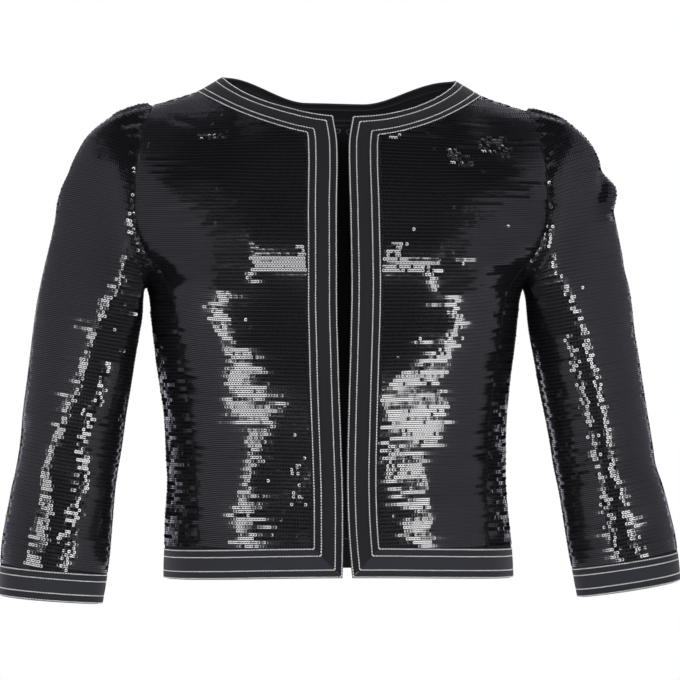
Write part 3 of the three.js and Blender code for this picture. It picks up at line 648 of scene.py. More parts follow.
def cloth_mesh(name, grid, normals, ring):
    """A mesh on a grid of points (columns by rows), with its UV map in metres along the cloth."""
    columns, rows = grid.shape[:2]
    bm = bmesh.new()
    bmesh.ops.create_grid(bm, x_segments=columns - 1, y_segments=rows - 1, size=0.5)
    bm.verts.ensure_lookup_table()
    flat = (grid * MM).reshape(-1, 3)
    across = np.linalg.norm(np.diff(grid, axis=0), axis=-1).mean(1).cumsum() * MM
    up = np.linalg.norm(np.diff(grid, axis=1), axis=-1).mean(0).cumsum() * MM
    across, up = np.append(0, across), np.append(0, up)
    uv = bm.loops.layers.uv.new("Cloth")
    places = {}
    for vertex in bm.verts:
        i, j = (round((vertex.co[k] + 0.5) * (n - 1)) for k, n in ((0, columns), (1, rows)))
        places[vertex.index] = (i, j)
    for face in bm.faces:
        for loop in face.loops:
            i, j = places[loop.vert.index]
            loop[uv].uv = (across[i], up[j])
    for vertex in bm.verts:
        i, j = places[vertex.index]
        vertex.co = flat[i * rows + j]
    middle = grid[columns // 2:columns // 2 + 2, rows // 2:rows // 2 + 2]
    facing = np.cross(middle[1, 0] - middle[0, 0], middle[0, 1] - middle[0, 0])
    if facing @ normals[columns // 2, rows // 2] < 0:
        bmesh.ops.reverse_faces(bm, faces=bm.faces)
    if ring:
        bmesh.ops.remove_doubles(bm, verts=bm.verts, dist=WELD * MM)
    mesh = bpy.data.meshes.new(name)
    bm.to_mesh(mesh)
    bm.free()
    mesh.shade_smooth()
    return mesh


def show(name, mesh, slot, *materials):
    piece = bpy.data.objects.new(name, mesh)
    bpy.context.scene.collection.objects.link(piece)
    for material in materials:
        mesh.materials.append(material)
    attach(piece, "root")
    return piece


def solidify(piece, wall):
    """Gives a sheet its thickness, half to each side, with the second material on the inside."""
    modifier = piece.modifiers.new("Cloth", "SOLIDIFY")
    modifier.thickness, modifier.offset = wall, 0.0
    modifier.use_even_offset = True
    modifier.material_offset, modifier.material_offset_rim = 1, 0


class Sheet:
    """One cut piece of cloth: its form, its cut and the CAD node that it stands for."""

    def __init__(self, node, form, columns, rows, cut, area, ring=False):
        self.node, self.form, self.columns, self.rows = node, form, columns, rows
        self.cut, self.area, self.ring = cut, area, ring

    def grid(self, strength, rows=None):
        u = np.linspace(0, 1, self.columns)[:, None]
        v = (np.linspace(0, 1, self.rows) if rows is None else rows)[None, :]
        u, v = np.broadcast_arrays(u, v)
        return creased(*self.form(u, v), strength)


def both_sides(make):
    return [make(side) for side in (LEFT, RIGHT)]


# Each sheet's points along and across it, and its cut's size and area in metres.
PANELS = [
    *both_sides(lambda side: Sheet(
        f"front_{SIDE_NAMES[side]}", lambda u, v: front_sheet(side, u, v), 38, 92,
        (0.168, 0.425), 0.061)),
    *both_sides(lambda side: Sheet(
        f"side_panel_{SIDE_NAMES[side]}", lambda u, v: side_sheet(side, u, v), 34, 56,
        (0.15, 0.275), 0.0295)),
    Sheet("back", back_sheet, 84, 92, (0.4, 0.43), 0.1476),
]
SLEEVES = both_sides(lambda side: Sheet(
    f"sleeve_{SIDE_NAMES[side]}", lambda u, v: sleeve_sheet(side, u, v), 91, 96,
    (0.36, 0.46), 0.12, ring=True))

STITCH_LINES = (1.0, 7.5, 20.5, 27.0)  # distances across a band
BANDS = [
    Sheet("neck_band", neck_sheet, 180, 0, (0.62, 0.029), 0.0159),
    *both_sides(lambda side: Sheet(
        f"front_band_{SIDE_NAMES[side]}", lambda u, v: front_band_sheet(side, u, v), 110, 0,
        (0.435, 0.029), 0.01155)),
    Sheet("hem_band", hem_sheet, 230, 0, (0.84, 0.03), 0.0226),
    *both_sides(lambda side: Sheet(
        f"cuff_{SIDE_NAMES[side]}", lambda u, v: cuff_sheet(side, u, v), 91, 0,
        (0.3, 0.03), 0.0082, ring=True)),
]


# ---- Small things, many to a mesh ----

def copies(name, shape, centres, along, across, up):
    """One mesh of a small shape repeated, each copy turned to its own three directions."""
    vertices = np.array([v.co for v in shape.vertices])
    turned = (centres[:, None] + vertices[None, :, 0:1] * along[:, None]
              + vertices[None, :, 1:2] * across[:, None] + vertices[None, :, 2:3] * up[:, None])
    corners = np.array([loop.vertex_index for loop in shape.loops])
    starts = np.array([polygon.loop_start for polygon in shape.polygons])
    number = np.arange(len(centres))[:, None]
    mesh = bpy.data.meshes.new(name)
    mesh.vertices.add(turned.shape[0] * turned.shape[1])
    mesh.vertices.foreach_set("co", turned.astype(np.float32).ravel())
    mesh.loops.add(len(corners) * len(centres))
    mesh.loops.foreach_set("vertex_index", (corners + number * len(vertices)).astype(np.int32).ravel())
    mesh.polygons.add(len(starts) * len(centres))
    mesh.polygons.foreach_set("loop_start", (starts + number * len(corners)).astype(np.int32).ravel())
    for layer in shape.uv_layers:
        uv = np.zeros(len(corners) * 2, np.float32)
        layer.uv.foreach_get("vector", uv)
        mesh.uv_layers.new(name=layer.name).uv.foreach_set("vector", np.tile(uv, len(centres)))
    mesh.update(calc_edges=True)
    return mesh


SEQUIN_SIDES = 8
STITCH_ROUND, STITCH_LONG, STITCH_SINK = 6, 4, 0.5


def sequin_shape():
    """A flat sequin one unit in radius, with a map that is 0 to 1 across it."""
    bm = bmesh.new()
    bmesh.ops.create_circle(bm, cap_ends=True, segments=SEQUIN_SIDES, radius=1.0)
    uv = bm.loops.layers.uv.new("OFBake")
    for face in bm.faces:
        if face.normal.z < 0:
            face.normal_flip()
        for loop in face.loops:
            loop[uv].uv = (0.5 + loop.vert.co.x / 2, 0.5 + loop.vert.co.y / 2)
    mesh = bpy.data.meshes.new("sequin")
    bm.to_mesh(mesh)
    bm.free()
    return mesh


def stitch_shape():
    """A stitch one unit in half length, width and height, sunk at its ends."""
    bm = bmesh.new()
    bmesh.ops.create_uvsphere(bm, u_segments=STITCH_ROUND, v_segments=STITCH_LONG, radius=1.0)
    for vertex in bm.verts:
        x, y, z = vertex.co
        vertex.co = (z, y, -x - STITCH_SINK * z ** 4)
    mesh = bpy.data.meshes.new("stitch")
    bm.to_mesh(mesh)
    bm.free()
    mesh.shade_smooth()
    return mesh


SEAM_ROOM = 0.9  # from a seam between two sequinned panels to the middle of the nearest sequins
WHOLLY = 0.999  # with less, a column of cloth beside the sequin isn't inside the panel


def rows_of_sequins(part, pitch, spread, margin, rng):
    """Places for sequins in rows along a panel.

    A row keeps one distance along the cloth from the base, as on the flat panel, and its sequins
    stand evenly along it.
    """
    columns, form, base = part.columns, part.form, part.base
    a = columns[:, None]
    b = part.down(columns)
    p, _ = form(np.broadcast_to(a, b.shape), b)
    length = np.linalg.norm(np.diff(p, axis=1), axis=-1).cumsum(1)
    length = np.concatenate([np.zeros((len(columns), 1)), length], 1)
    first = np.array([np.interp(base, row, s) if row[0] < row[-1]
                      else np.interp(-base, -row, s) for row, s in zip(b, length)])
    length -= first[:, None]
    low, high = length[:, 0] + margin, length[:, -1] - np.where(part.seamed(columns), SEAM_ROOM, margin)
    rows = np.arange(math.floor(low.min() / pitch), math.ceil(high.max() / pitch) + 1)
    levels = (rows + 0.5) * pitch
    at = np.stack([np.interp(levels, s, row) for s, row in zip(length, b)], 1)
    inside = ((levels[:, None] > low) & (levels[:, None] < high)).astype(float)
    found = []
    for number, (level_at, valid) in enumerate(zip(at, inside)):
        if valid.max() == 0:
            continue
        path, _ = form(columns, level_at)
        run = np.append(0, np.linalg.norm(np.diff(path, axis=0), axis=-1).cumsum())
        place = np.arange(SEAM_ROOM + rng.uniform(0, spread), run[-1] - SEAM_ROOM, spread)
        kept = np.interp(place, run, valid) > WHOLLY
        place = place[kept]
        if not len(place):
            continue
        found.append(np.stack([
            np.interp(place, run, columns), np.interp(place, run, level_at),
            np.full(len(place), number), place], 1))
    return np.concatenate(found)


def uneven_rows(number, place, knots, spread, rng):
    """A value for each sequin that changes slowly along its row and starts afresh in the next."""
    count = int(place.max() / knots) + 3
    value = np.zeros(len(place))
    for row in np.unique(number):
        chosen = number == row
        steps = rng.normal(0, spread, count)
        value[chosen] = np.interp(place[chosen], np.arange(count) * knots, steps)
    return value


class Sequinned:
    """How one sheet's rows of sequins lie: its columns, its rows and where they stop."""

    def __init__(self, node, columns, form, down, base, inside, seamed, restless=1.0):
        self.node, self.columns, self.form, self.down = node, columns, form, down
        self.base, self.inside, self.seamed, self.restless = base, inside, seamed, restless


def always(columns):
    return np.full(np.shape(columns), True)


def beyond_neck(x):
    return np.abs(x) > BAND_EDGE["half_width"]


PANEL_STEPS = 260
COLUMN_STEP = 1.2
WIDEST = 196.0  # past the armhole seams
SIDE_EDGE, SIDE_COLUMNS = 0.998, 140  # how near its seams a side panel's columns come
SLEEVE_COLUMNS = 300
CHEST = -150.0  # the height from which the rows on the fronts and the back are counted
SIDE_MIDDLE = -250.0  # and on the side panels
ELBOW = 12.0  # and the section on the sleeves


def body_down(face):
    def down(x):
        """Heights up a column of the body: close where it turns over the shoulder."""
        top = panel_top(np.abs(x), face)[:, None]
        bottom = hem_top(np.abs(x))[:, None]
        t = np.linspace(0, 1, PANEL_STEPS)[None]
        above = top - (top - CHEST) * (1 - t) ** 2
        below = mix(bottom, CHEST, t)
        return np.concatenate([below, above[:, 1:]], 1)
    return down


def front_rows(side):
    def form(x, z):
        return facing_out(on_body(side * x, z, "front"))

    def inside(x, z, margin):
        return (x > front_edge(side, z) + BAND + margin) & (x < panel_edge(z, "front") - SEAM_ROOM)

    return Sequinned(f"front_{SIDE_NAMES[side]}", np.arange(BAND, WIDEST, COLUMN_STEP), form,
                     body_down("front"), CHEST, inside, beyond_neck)


def back_rows():
    def form(x, z):
        return facing_out(on_body(x, z, "back"))

    def inside(x, z, margin):
        return np.abs(x) < panel_edge(z, "back") - SEAM_ROOM

    return Sequinned("back", np.arange(-WIDEST, WIDEST + 0.1, COLUMN_STEP), form,
                     body_down("back"), CHEST, inside, beyond_neck)


def side_rows(side):
    def form(share, z):
        return facing_out(side_point(side, share, z))

    def down(share):
        low, high = side_bottom(side, share)[:, None], bowl_height(np.abs(share))[:, None]
        return mix(low, high, np.linspace(0, 1, PANEL_STEPS)[None])

    columns = np.linspace(-SIDE_EDGE, SIDE_EDGE, SIDE_COLUMNS)
    return Sequinned(f"side_panel_{SIDE_NAMES[side]}", columns, form, down, SIDE_MIDDLE, None,
                     always, restless=4.0)


def sleeve_rows(side):
    def form(angle, along):
        return round_sleeve(side, angle, along)

    def down(angle):
        return np.broadcast_to(np.linspace(CUFF_TOP, 0, 2 * PANEL_STEPS),
                               (len(angle), 2 * PANEL_STEPS))

    columns = np.linspace(-math.pi, math.pi, SLEEVE_COLUMNS)
    return Sequinned(f"sleeve_{SIDE_NAMES[side]}", columns, form, down, ELBOW, None, always)


SEQUINNED = [*both_sides(front_rows), *both_sides(side_rows), back_rows(), *both_sides(sleeve_rows)]
DIFFERENCE = 1e-3

# How unevenly the rows lie. Each value changes over a distance along the row, in mm.
WANDER = ((8, 2.4), (40, 1.6))  # distance, and how far the ends of a streak stray in mm
YAW_CHANGES, NOD_CHANGES = 26, 40
NOD_SHARE = 0.25
LOOSER = 9  # a loose sequin lies this many times as askew


def lay_sequins(part, sizes, rng):
    """The centres, and the directions along, across and out, of a part's sequins, in mm."""
    margin = (sizes.seam_margin + sizes.sequin_diameter / 2) / MM
    places = rows_of_sequins(part, sizes.row_pitch / MM, sizes.sequin_pitch / MM, margin, rng)
    a, b, number, place = places.T
    if part.inside is not None:
        kept = part.inside(a, b, margin)
        a, b, number, place = a[kept], b[kept], number[kept], place[kept]
    base, normals = part.form(a, b)
    centres, normals = creased(base, normals, sizes.crease_strength)
    wander = sum(uneven_rows(number, place, *steps, rng) for steps in WANDER)
    normals = streaked(part, a, b, normals, sizes.crease_strength, wander, rng)
    ahead, _ = part.form(a + DIFFERENCE * np.ptp(part.columns), b)
    along = square_to(normals, unit(ahead - base))
    across = np.cross(normals, along)
    count = len(a)
    yaw = uneven_rows(number, place, YAW_CHANGES, sizes.row_tilt, rng) * part.restless
    nod = uneven_rows(number, place, NOD_CHANGES, NOD_SHARE * sizes.row_tilt, rng) * part.restless
    yaw += rng.normal(0, sizes.sequin_tilt, count) * part.restless
    nod += rng.normal(0, sizes.sequin_tilt, count) * part.restless
    loose = rng.random(count) < sizes.loose_share
    yaw += loose * rng.normal(0, LOOSER * sizes.sequin_tilt, count)
    nod += loose * rng.normal(0, LOOSER * sizes.sequin_tilt, count)
    yaw += np.where(number % 2 > 0, 1, -1) * sizes.overlap_tilt
    outward, upward = lie_of(part.node, base)
    yaw += outward
    nod += np.sign(across[:, 2]) * upward
    tilted = unit(normals + np.tan(yaw)[:, None] * along + np.tan(nod)[:, None] * across)
    along = square_to(tilted, along)
    across = np.cross(tilted, along)
    lift = (sizes.cloth_wall / 2 + sizes.sequin_lift) / MM
    return hung(centres + lift * normals), along, across, tilted


class Streak:
    """Sequins that face one way along a soft fold or on a flat of the cloth.

    The sequins' facing is turned and raised in degrees. Each row gives a place down the panel, the
    middle across it and half the width there: height and distance from the middle in mm on a front,
    and section and degrees round on a sleeve. A drawn streak draws its neighbours some of the way. A
    share of 1 is wholly its facing, kept is the share of sequins that keep to it, and ragged is how
    far its sides stray.
    """

    def __init__(self, turned, raised, rows, drawn=True, share=0.8, kept=1.0, ragged=1.0):
        turned, raised = math.radians(turned), math.radians(raised)
        self.facing = np.array([math.sin(turned) * math.cos(raised),
                                -math.cos(turned) * math.cos(raised), math.sin(raised)])
        self.table = Table("at middle half", rows)
        self.low, self.high = sorted((rows[0][0], rows[-1][0]))
        self.drawn, self.share, self.kept, self.ragged = drawn, share, kept, ragged


# Most of these rows were worked out by a scratch program and then rounded, not chosen by hand.
STREAKS = {
    "front_right": [
        Streak(-21, 0, [
            (-205, 113, 6), (-219, 116, 6), (-237, 109, 7), (-251, 108, 7.5), (-260, 98.5, 8),
            (-275, 94, 9.5), (-286, 92, 14), (-303, 86, 15), (-327, 83.5, 14), (-336, 79, 7),
            (-343, 83, 8.5), (-353, 84, 5.5), (-362, 86.5, 3.5), (-380, 91, 3.8), (-398, 92.5, 5.5),
            (-426, 95.5, 6.5), (-440, 93.5, 9)]),
        Streak(-6, 3.2, [(-171.2, 69, 16), (-175, 64, 29.5), (-187, 65, 30)], drawn=False, share=0.9,
               kept=0.97),
        Streak(-3, 0.4, [(-162, 40, 4.8), (-171.5, 40, 4.8)], drawn=False, share=0.9, kept=0.8),
        Streak(-9, 9, [(-100, 138, 10), (-114, 131, 17), (-128, 119, 21), (-142, 110, 19),
                       (-150, 107, 18)], drawn=False, ragged=2.5),
        Streak(-3, -3.3, [(-150, 107, 18), (-170, 103, 16), (-188, 105, 17), (-203, 104, 17)],
               drawn=False, share=0.9, ragged=1.5),
        Streak(-3, 4.2, [(-356, 46, 5), (-379, 47.5, 4), (-405, 43, 4)], drawn=False, kept=0.45),
        Streak(-3, 4.2, [(-420, 42, 4), (-437, 41, 4)], drawn=False, kept=0.5),
        Streak(-8, 3.2, [(-57, 123, 10), (-61.5, 123, 10)], drawn=False, share=0.98, kept=0.4),
    ],
    "front_left": [
        Streak(14.5, 0, [
            (-208, 105, 3.5), (-226, 103, 4.5), (-234, 108, 4), (-242, 100.5, 4.5), (-250, 97.5, 2.5),
            (-256, 104, 6), (-262, 92, 11), (-270, 88.5, 10), (-276, 79, 19), (-290, 64.5, 22),
            (-300, 65, 28.5), (-319, 68, 29), (-336, 70.5, 19), (-342, 66.5, 24), (-348, 58, 17),
            (-362, 58, 17), (-373, 55, 18), (-387, 69, 8.5), (-400, 67, 11), (-409, 73, 9),
            (-430, 66, 13), (-440, 70, 11)], kept=0.93),
        Streak(-2, 3.2, [(-178.5, 61, 28), (-187.5, 60, 27)], drawn=False, share=0.9, kept=0.75),
        Streak(-2, 3.2, [(-186.5, 98, 12), (-192, 99, 6)], drawn=False, share=0.9, kept=0.6),
        Streak(-2, 0.4, [(-158, 54, 4.5), (-160, 47, 7), (-168, 43, 9), (-174, 46, 12)], drawn=False,
               share=0.9, kept=0.7),
        Streak(8, 3.2, [(-55, 141, 13), (-66, 143, 14), (-76, 152, 8)], drawn=False, share=0.98, kept=0.3),
        Streak(8, 3.2, [(-67, 100, 6), (-77, 106, 12), (-84, 116, 10)], drawn=False, share=0.97, kept=0.25),
        Streak(4, 3.2, [(-53, 44, 6), (-60, 48, 5)], drawn=False, share=0.97, kept=0.25),
        Streak(10, 10, [(-98, 172, 18), (-106, 163, 17), (-112, 150, 22), (-121, 134, 20), (-130, 120, 17),
                       (-140, 110, 15), (-152, 103, 12)], drawn=False, ragged=2.5),
        Streak(-3, -3.3, [(-152, 103, 13), (-170, 103, 14), (-185, 105, 16), (-206, 104, 16)],
               drawn=False, share=0.9, ragged=1.5),
    ],
    "sleeve_right": [
        Streak(-20, 0, [
            (4.0, 116, 3), (6.3, 115, 2), (8.3, 113, 4.5), (9.8, 105, 5.5), (11.0, 101, 3.5),
            (11.7, 95, 3.5), (12.7, 90, 4), (13.4, 80, 2.5), (13.8, 78, 3.5), (14.3, 72, 3),
            (14.9, 64, 4.5), (15.3, 66, 6), (16.0, 71, 8), (17.1, 69, 9.5), (17.9, 64, 9)], ragged=0.6),
        Streak(16.5, 0, [
            (12.4, 118, 4), (13.1, 113, 5), (13.6, 106, 5), (14.8, 106, 6), (15.4, 110, 5),
            (16.2, 102, 8), (16.6, 100, 8), (17.7, 102, 4)], kept=0.4),
        Streak(2, -1, [(4.0, 138, 16), (8.3, 135, 16), (9.8, 128, 17), (11.0, 124, 18), (12.3, 117, 19)],
               drawn=False, share=0.85),
        Streak(-20, 0, [(0.2, 92, 24), (1.0, 94, 22)], drawn=False, kept=0.3),
    ],
    "sleeve_left": [
        Streak(13.3, 0, [
            (5.0, 120, 3), (7.0, 116, 3), (8.4, 110, 3.5), (10.5, 102, 4), (12.0, 96, 3.5),
            (13.0, 91, 2.5), (14.0, 89, 2.5), (14.9, 90, 2.5), (16.0, 85, 3), (16.8, 85, 3.5),
            (17.8, 80, 5)], kept=0.85, ragged=0.6),
        Streak(-23.4, 0, [
            (11.4, 117, 1.5), (12.8, 110, 3), (13.8, 106, 3.5), (15.0, 103, 3), (16.2, 104, 4),
            (17.4, 104, 3)], kept=0.6),
        Streak(-5, -1, [(4.0, 141, 16), (7.0, 135, 16), (8.4, 130, 17), (10.5, 122, 17), (11.4, 117, 17)],
               drawn=False, share=0.85),
        Streak(13.3, 0, [(0.2, 88, 30), (1.0, 88, 30)], drawn=False, kept=0.15),
    ],
}
DRAWN_REACH = {"front": 55.0, "sleeve": 45.0}  # how far across its neighbours a streak draws them
DRAWN_FADE = {"front": 10.0, "sleeve": 1.5}  # and how far beyond its ends
SCATTER = 9.0  # degrees by which sequins that break a streak lie askew


def streaked(part, a, b, normals, strength, wander, rng):
    """Turns sequins to lie as their streaks do, and draws their neighbours some of the way."""
    kind = part.node.split("_")[0]
    streaks = STREAKS.get(part.node, ())
    scale = math.degrees(1) if kind == "sleeve" else 1.0
    middles = [streak.table("middle", b, "at") for streak in streaks]
    offs = [scale * a - middle for middle in middles]
    drawn = [k for k, streak in enumerate(streaks) if streak.drawn]
    moved = np.zeros_like(normals)
    for k in drawn:
        streak, off, middle = streaks[k], offs[k], middles[k]
        _, own = creased(*part.form(middle / scale, b), strength)
        reach, fade = DRAWN_REACH[kind], DRAWN_FADE[kind]
        inner = middles[k + 1] - middle if k + 1 in drawn else reach
        outer = middle - middles[k - 1] if k - 1 in drawn else reach
        near = clamp(1 - np.where(off > 0, off / inner, -off / outer))
        near = near * ramp(b, streak.low - fade, streak.low) * ramp(b, streak.high + fade, streak.high)
        moved += near[:, None] * (streak.facing - own)
    normals = unit(normals + moved)
    for streak, off in zip(streaks, offs):
        near = (b > streak.low) & (b < streak.high)
        near &= np.abs(off) < streak.table("half", b, "at") + streak.ragged * wander
        faced = near & (rng.random(len(b)) < streak.kept)
        askew = np.radians(SCATTER) * rng.normal(0, 1, normals.shape)
        normals = pick(near & ~faced, unit(normals + askew), normals)
        normals = pick(faced, unit(mix(normals, streak.facing, streak.share)), normals)
    return normals


# How sequins lie on the cloth, in degrees, and the places in mm at which each lean starts and is whole.
OUTWARD = {"degrees": 7, "out": (94, 112), "up": (-202, -182)}  # round the outside of the chest
DOWNWARD = {"degrees": 5.2, "down": (-292, -352)}  # on the lower half of the fronts
UPWARD = {"degrees": 3.2, "flats": {LEFT: -178.0, RIGHT: -171.5}, "within": 2,
          "down": (-135, -155), "in": (92, 86)}  # just above the flats across the bust
SLEEVE_DOWNWARD = 4


def lie_of(node, p):
    """How far sequins turn outward and upward from the cloth that they are on, in radians."""
    out, z = np.abs(p[..., 0]), p[..., 2]
    outward, upward = np.zeros_like(z), np.zeros_like(z)
    if node.startswith("front"):
        outward += OUTWARD["degrees"] * ramp(out, *OUTWARD["out"]) * ramp(z, *OUTWARD["up"])
        upward -= DOWNWARD["degrees"] * ramp(z, *DOWNWARD["down"])
        flat = np.where(p[..., 0] > 0, UPWARD["flats"][LEFT], UPWARD["flats"][RIGHT])
        upward += (UPWARD["degrees"] * ramp(z, flat, flat + UPWARD["within"])
                   * ramp(z, *UPWARD["down"]) * ramp(out, *UPWARD["in"]))
    elif node.startswith("sleeve"):
        upward -= SLEEVE_DOWNWARD
    return np.radians(outward), np.radians(upward)


LINE_STEPS = 8  # points of a line of stitches to each column of its band
NEARBY = 0.5


def stitched_line(sheet, across, sizes):
    """The centres and directions of the stitches in one line along a band, in mm."""
    u = np.linspace(0, 1, LINE_STEPS * sheet.columns)[:, None]
    base, normals = sheet.form(u, np.full_like(u, across / BAND))
    p, normals = creased(base[:, 0], normals[:, 0], sizes.crease_strength)
    p = hung(p)
    run = np.append(0, np.linalg.norm(np.diff(p, axis=0), axis=-1).cumsum())
    count = round(run[-1] * MM / sizes.stitch_pitch)
    place = (np.arange(count) + 0.5) * run[-1] / count

    def at(places, values):
        return np.stack([np.interp(places, run, column) for column in values.T], 1)

    up = unit(at(place, normals))
    along = square_to(up, unit(at(place + NEARBY, p) - at(place - NEARBY, p)))
    return at(place, p), along, np.cross(up, along), up


# ---- Materials ----

class Value:
    """A socket of a node tree, on which sums, products and the like add Math nodes."""

    def __init__(self, nodes, socket):
        self.nodes, self.socket = nodes, socket

    def math(self, operation, *others):
        values = dict(enumerate((self, *others)))
        return self.nodes.add("ShaderNodeMath", {"operation": operation}, values)

    def __add__(self, other): return self.math("ADD", other)
    def __radd__(self, other): return self.math("ADD", other)
    def __sub__(self, other): return self.math("SUBTRACT", other)
    def __rsub__(self, other): return (self * -1.0).math("ADD", other)
    def __mul__(self, other): return self.math("MULTIPLY", other)
    def __rmul__(self, other): return self.math("MULTIPLY", other)
    def __truediv__(self, other): return self.math("DIVIDE", other)
    def __pow__(self, other): return self.math("POWER", other)

    def between(self, low, high):
        """0 at low, 1 at high and smooth between."""
        settings = {"interpolation_type": "SMOOTHSTEP", "clamp": True}
        return self.nodes.add("ShaderNodeMapRange", settings,
                              {"Value": self, "From Min": low, "From Max": high})


class Nodes:
    """A node tree, to which nodes are added by type, settings and the values of their sockets."""

    def __init__(self, tree):
        self.tree = tree
        tree.nodes.clear()

    def add(self, kind, settings=None, values=None, output=0):
        node = self.tree.nodes.new(kind)
        for name, setting in (settings or {}).items():
            setattr(node, name, setting)
        for name, value in (values or {}).items():
            socket = node.inputs[name]
            if isinstance(value, Value):
                self.tree.links.new(value.socket, socket)
            else:
                socket.default_value = value
        outputs = [s for s in node.outputs if s.enabled]
        if not outputs:
            return node
        return Value(self, node.outputs[output] if isinstance(output, str) else outputs[output])

    def blend(self, share, a, b):
        """One colour over into another."""
        return self.add("ShaderNodeMix", {"data_type": "RGBA"}, {0: share, 6: a, 7: b})

    def split(self, vector):
        """A vector's three numbers."""
        first = self.add("ShaderNodeSeparateXYZ", {}, {0: vector})
        return [Value(self, output) for output in first.socket.node.outputs]

    def on_cloth(self):
        """A place on the piece's own cloth: metres along it and metres across it."""
        return self.split(self.add("ShaderNodeUVMap", {"uv_map": "Cloth"}))[:2]

    def in_space(self):
        return self.add("ShaderNodeTexCoord", {}, {}, "Object")

    def waves(self, value, pitch):
        return (value * (2 * math.pi / pitch)).math("SINE")

    def noise(self, vector, scale, detail=2.0, roughness=0.5):
        return self.add("ShaderNodeTexNoise", {}, {
            "Vector": vector, "Scale": scale, "Detail": detail, "Roughness": roughness}, "Fac")

    def bump(self, height, distance, strength=1.0):
        return self.add("ShaderNodeBump", {}, {
            "Height": height, "Distance": distance, "Strength": strength})


def material(name, build):
    """A material whose nodes build() makes; build returns the values of the shader's sockets."""
    made = bpy.data.materials.new(name)
    made.use_nodes = True
    nodes = Nodes(made.node_tree)
    shader = nodes.add("ShaderNodeBsdfPrincipled", {}, build(nodes))
    nodes.add("ShaderNodeOutputMaterial", {}, {"Surface": shader})
    return made


def rgba(colour):
    return (*colour, 1.0)


def shade(colour, factor):
    return (*(factor * c for c in colour), 1.0)


SEQUIN_HOLE = (0.39, 0.49)  # shares of its radius, from wholly hole to wholly film
SEQUIN_RIM = (0.82, 0.94)  # and from film to its edge, which is darkened as painted shade
WEAVE_PITCH = 0.0007
TWILL_PITCH, TWILL_CROSS_PITCH = 0.0011, 0.0009
TWIST_PITCH, TWIST_SLANT = 0.00045, 1.7
BAND_MIDDLE = (0.0069, 0.0075), (0.0198, 0.0204)  # where the strip between the stitches starts and ends
BAND_MIDDLE_SHADE = 0.72
# Painted sheen: the level bands' colour is painted lighter and the upright bands' colour darker, standing
# in for the light that each catches.
BAND_PAINTED_SHEEN = {"level": 1.7, "upright": 0.75}


def sequin_material(colours):
    def build(nodes):
        uv = nodes.add("ShaderNodeUVMap", {"uv_map": "OFBake"})
        x, y, _ = nodes.split(uv)
        radius = ((x - 0.5) ** 2.0 + (y - 0.5) ** 2.0) ** 0.5 * 2.0
        hole = 1.0 - radius.between(*SEQUIN_HOLE)
        painted_rim_shade = radius.between(*SEQUIN_RIM)
        # The hole shows the dark thread's own colour. The rim is darkened as painted shade, in place of a
        # turned edge.
        hole_and_rim_shade = hole.math("MAXIMUM", painted_rim_shade * 0.8)
        cup = radius * radius * (1.0 - hole)
        return {
            "Base Color": nodes.blend(hole_and_rim_shade, rgba(colours.sequin), shade(colours.sequin, 0.5)),
            "Metallic": hole_and_rim_shade,
            "Roughness": hole_and_rim_shade * 0.8 + 0.1,
            "Specular IOR Level": 1.0,
            "Normal": nodes.bump(cup, 0.00004, 0.45),
        }
    return material("sequin_film", build)


def ground_material(colours):
    def build(nodes):
        u, v = nodes.on_cloth()
        weave = nodes.waves(u, WEAVE_PITCH) * nodes.waves(v, WEAVE_PITCH)
        worn = nodes.noise(nodes.in_space(), 60.0, 3.0)
        return {
            "Base Color": nodes.blend(worn, shade(colours.ground, 0.8), shade(colours.ground, 1.3)),
            "Roughness": worn * 0.1 + 0.82,
            "Specular IOR Level": 0.25,
            "Normal": nodes.bump(weave, 0.00008, 0.5),
        }
    return material("sequin_ground", build)


def band_material(name, colours, grain_and_painted_sheen):
    """The bands' cloth, with every tone painted lighter or darker by the way the band runs: a painted sheen
    for the light that it catches, not a colour of the cloth.
    """
    # Both tones carry the painted sheen.
    dark, light = shade(colours.band, grain_and_painted_sheen * 0.9), shade(colours.band, grain_and_painted_sheen * 1.12)

    def build(nodes):
        u, v = nodes.on_cloth()
        twill = nodes.waves(u + v, TWILL_PITCH)
        cross = nodes.waves(u - v, TWILL_CROSS_PITCH)
        place = nodes.in_space()
        slub = nodes.noise(place, 900.0, 3.0, 0.6)
        worn = nodes.noise(place, 22.0, 3.0)
        starts, ends = BAND_MIDDLE
        middle = v.between(*starts) * (1.0 - v.between(*ends))
        tone = nodes.blend(middle, shade(colours.band, grain_and_painted_sheen * BAND_MIDDLE_SHADE),
                           nodes.blend(worn, dark, light))
        return {
            "Base Color": nodes.blend(slub * 0.4, tone, shade(colours.band, grain_and_painted_sheen * 1.5)),
            "Roughness": slub * 0.14 + 0.72,
            "Specular IOR Level": 0.2,
            "Sheen Weight": 0.12,
            "Sheen Roughness": 0.5,
            "Normal": nodes.bump(twill * 0.6 + cross * 0.3 + slub, 0.00009, 0.6),
        }
    return material(name, build)


def inside_material(colours):
    def build(nodes):
        place = nodes.in_space()
        grain_and_painted_sheen = nodes.noise(place, 1400.0, 2.0)
        worn = nodes.noise(place, 18.0, 3.0)
        return {
            "Base Color": nodes.blend(worn, shade(colours.inside, 0.8), shade(colours.inside, 1.25)),
            "Roughness": worn * 0.12 + 0.6,
            "Specular IOR Level": 0.3,
            "Normal": nodes.bump(grain_and_painted_sheen, 0.00006, 0.5),
        }
    return material("inside_cloth", build)


def thread_material(colours):
    def build(nodes):
        place = nodes.in_space()
        uneven = nodes.noise(place, 420.0, 2.0)
        x, y, z = nodes.split(place)
        twist = nodes.waves(x + y + z * TWIST_SLANT, TWIST_PITCH)
        return {
            "Base Color": nodes.blend(uneven, shade(colours.thread, 0.82), rgba(colours.thread)),
            "Roughness": uneven * 0.15 + 0.5,
            "Specular IOR Level": 0.4,
            "Normal": nodes.bump(twist, 0.00004, 0.5),
        }
    return material("stitch_thread", build)


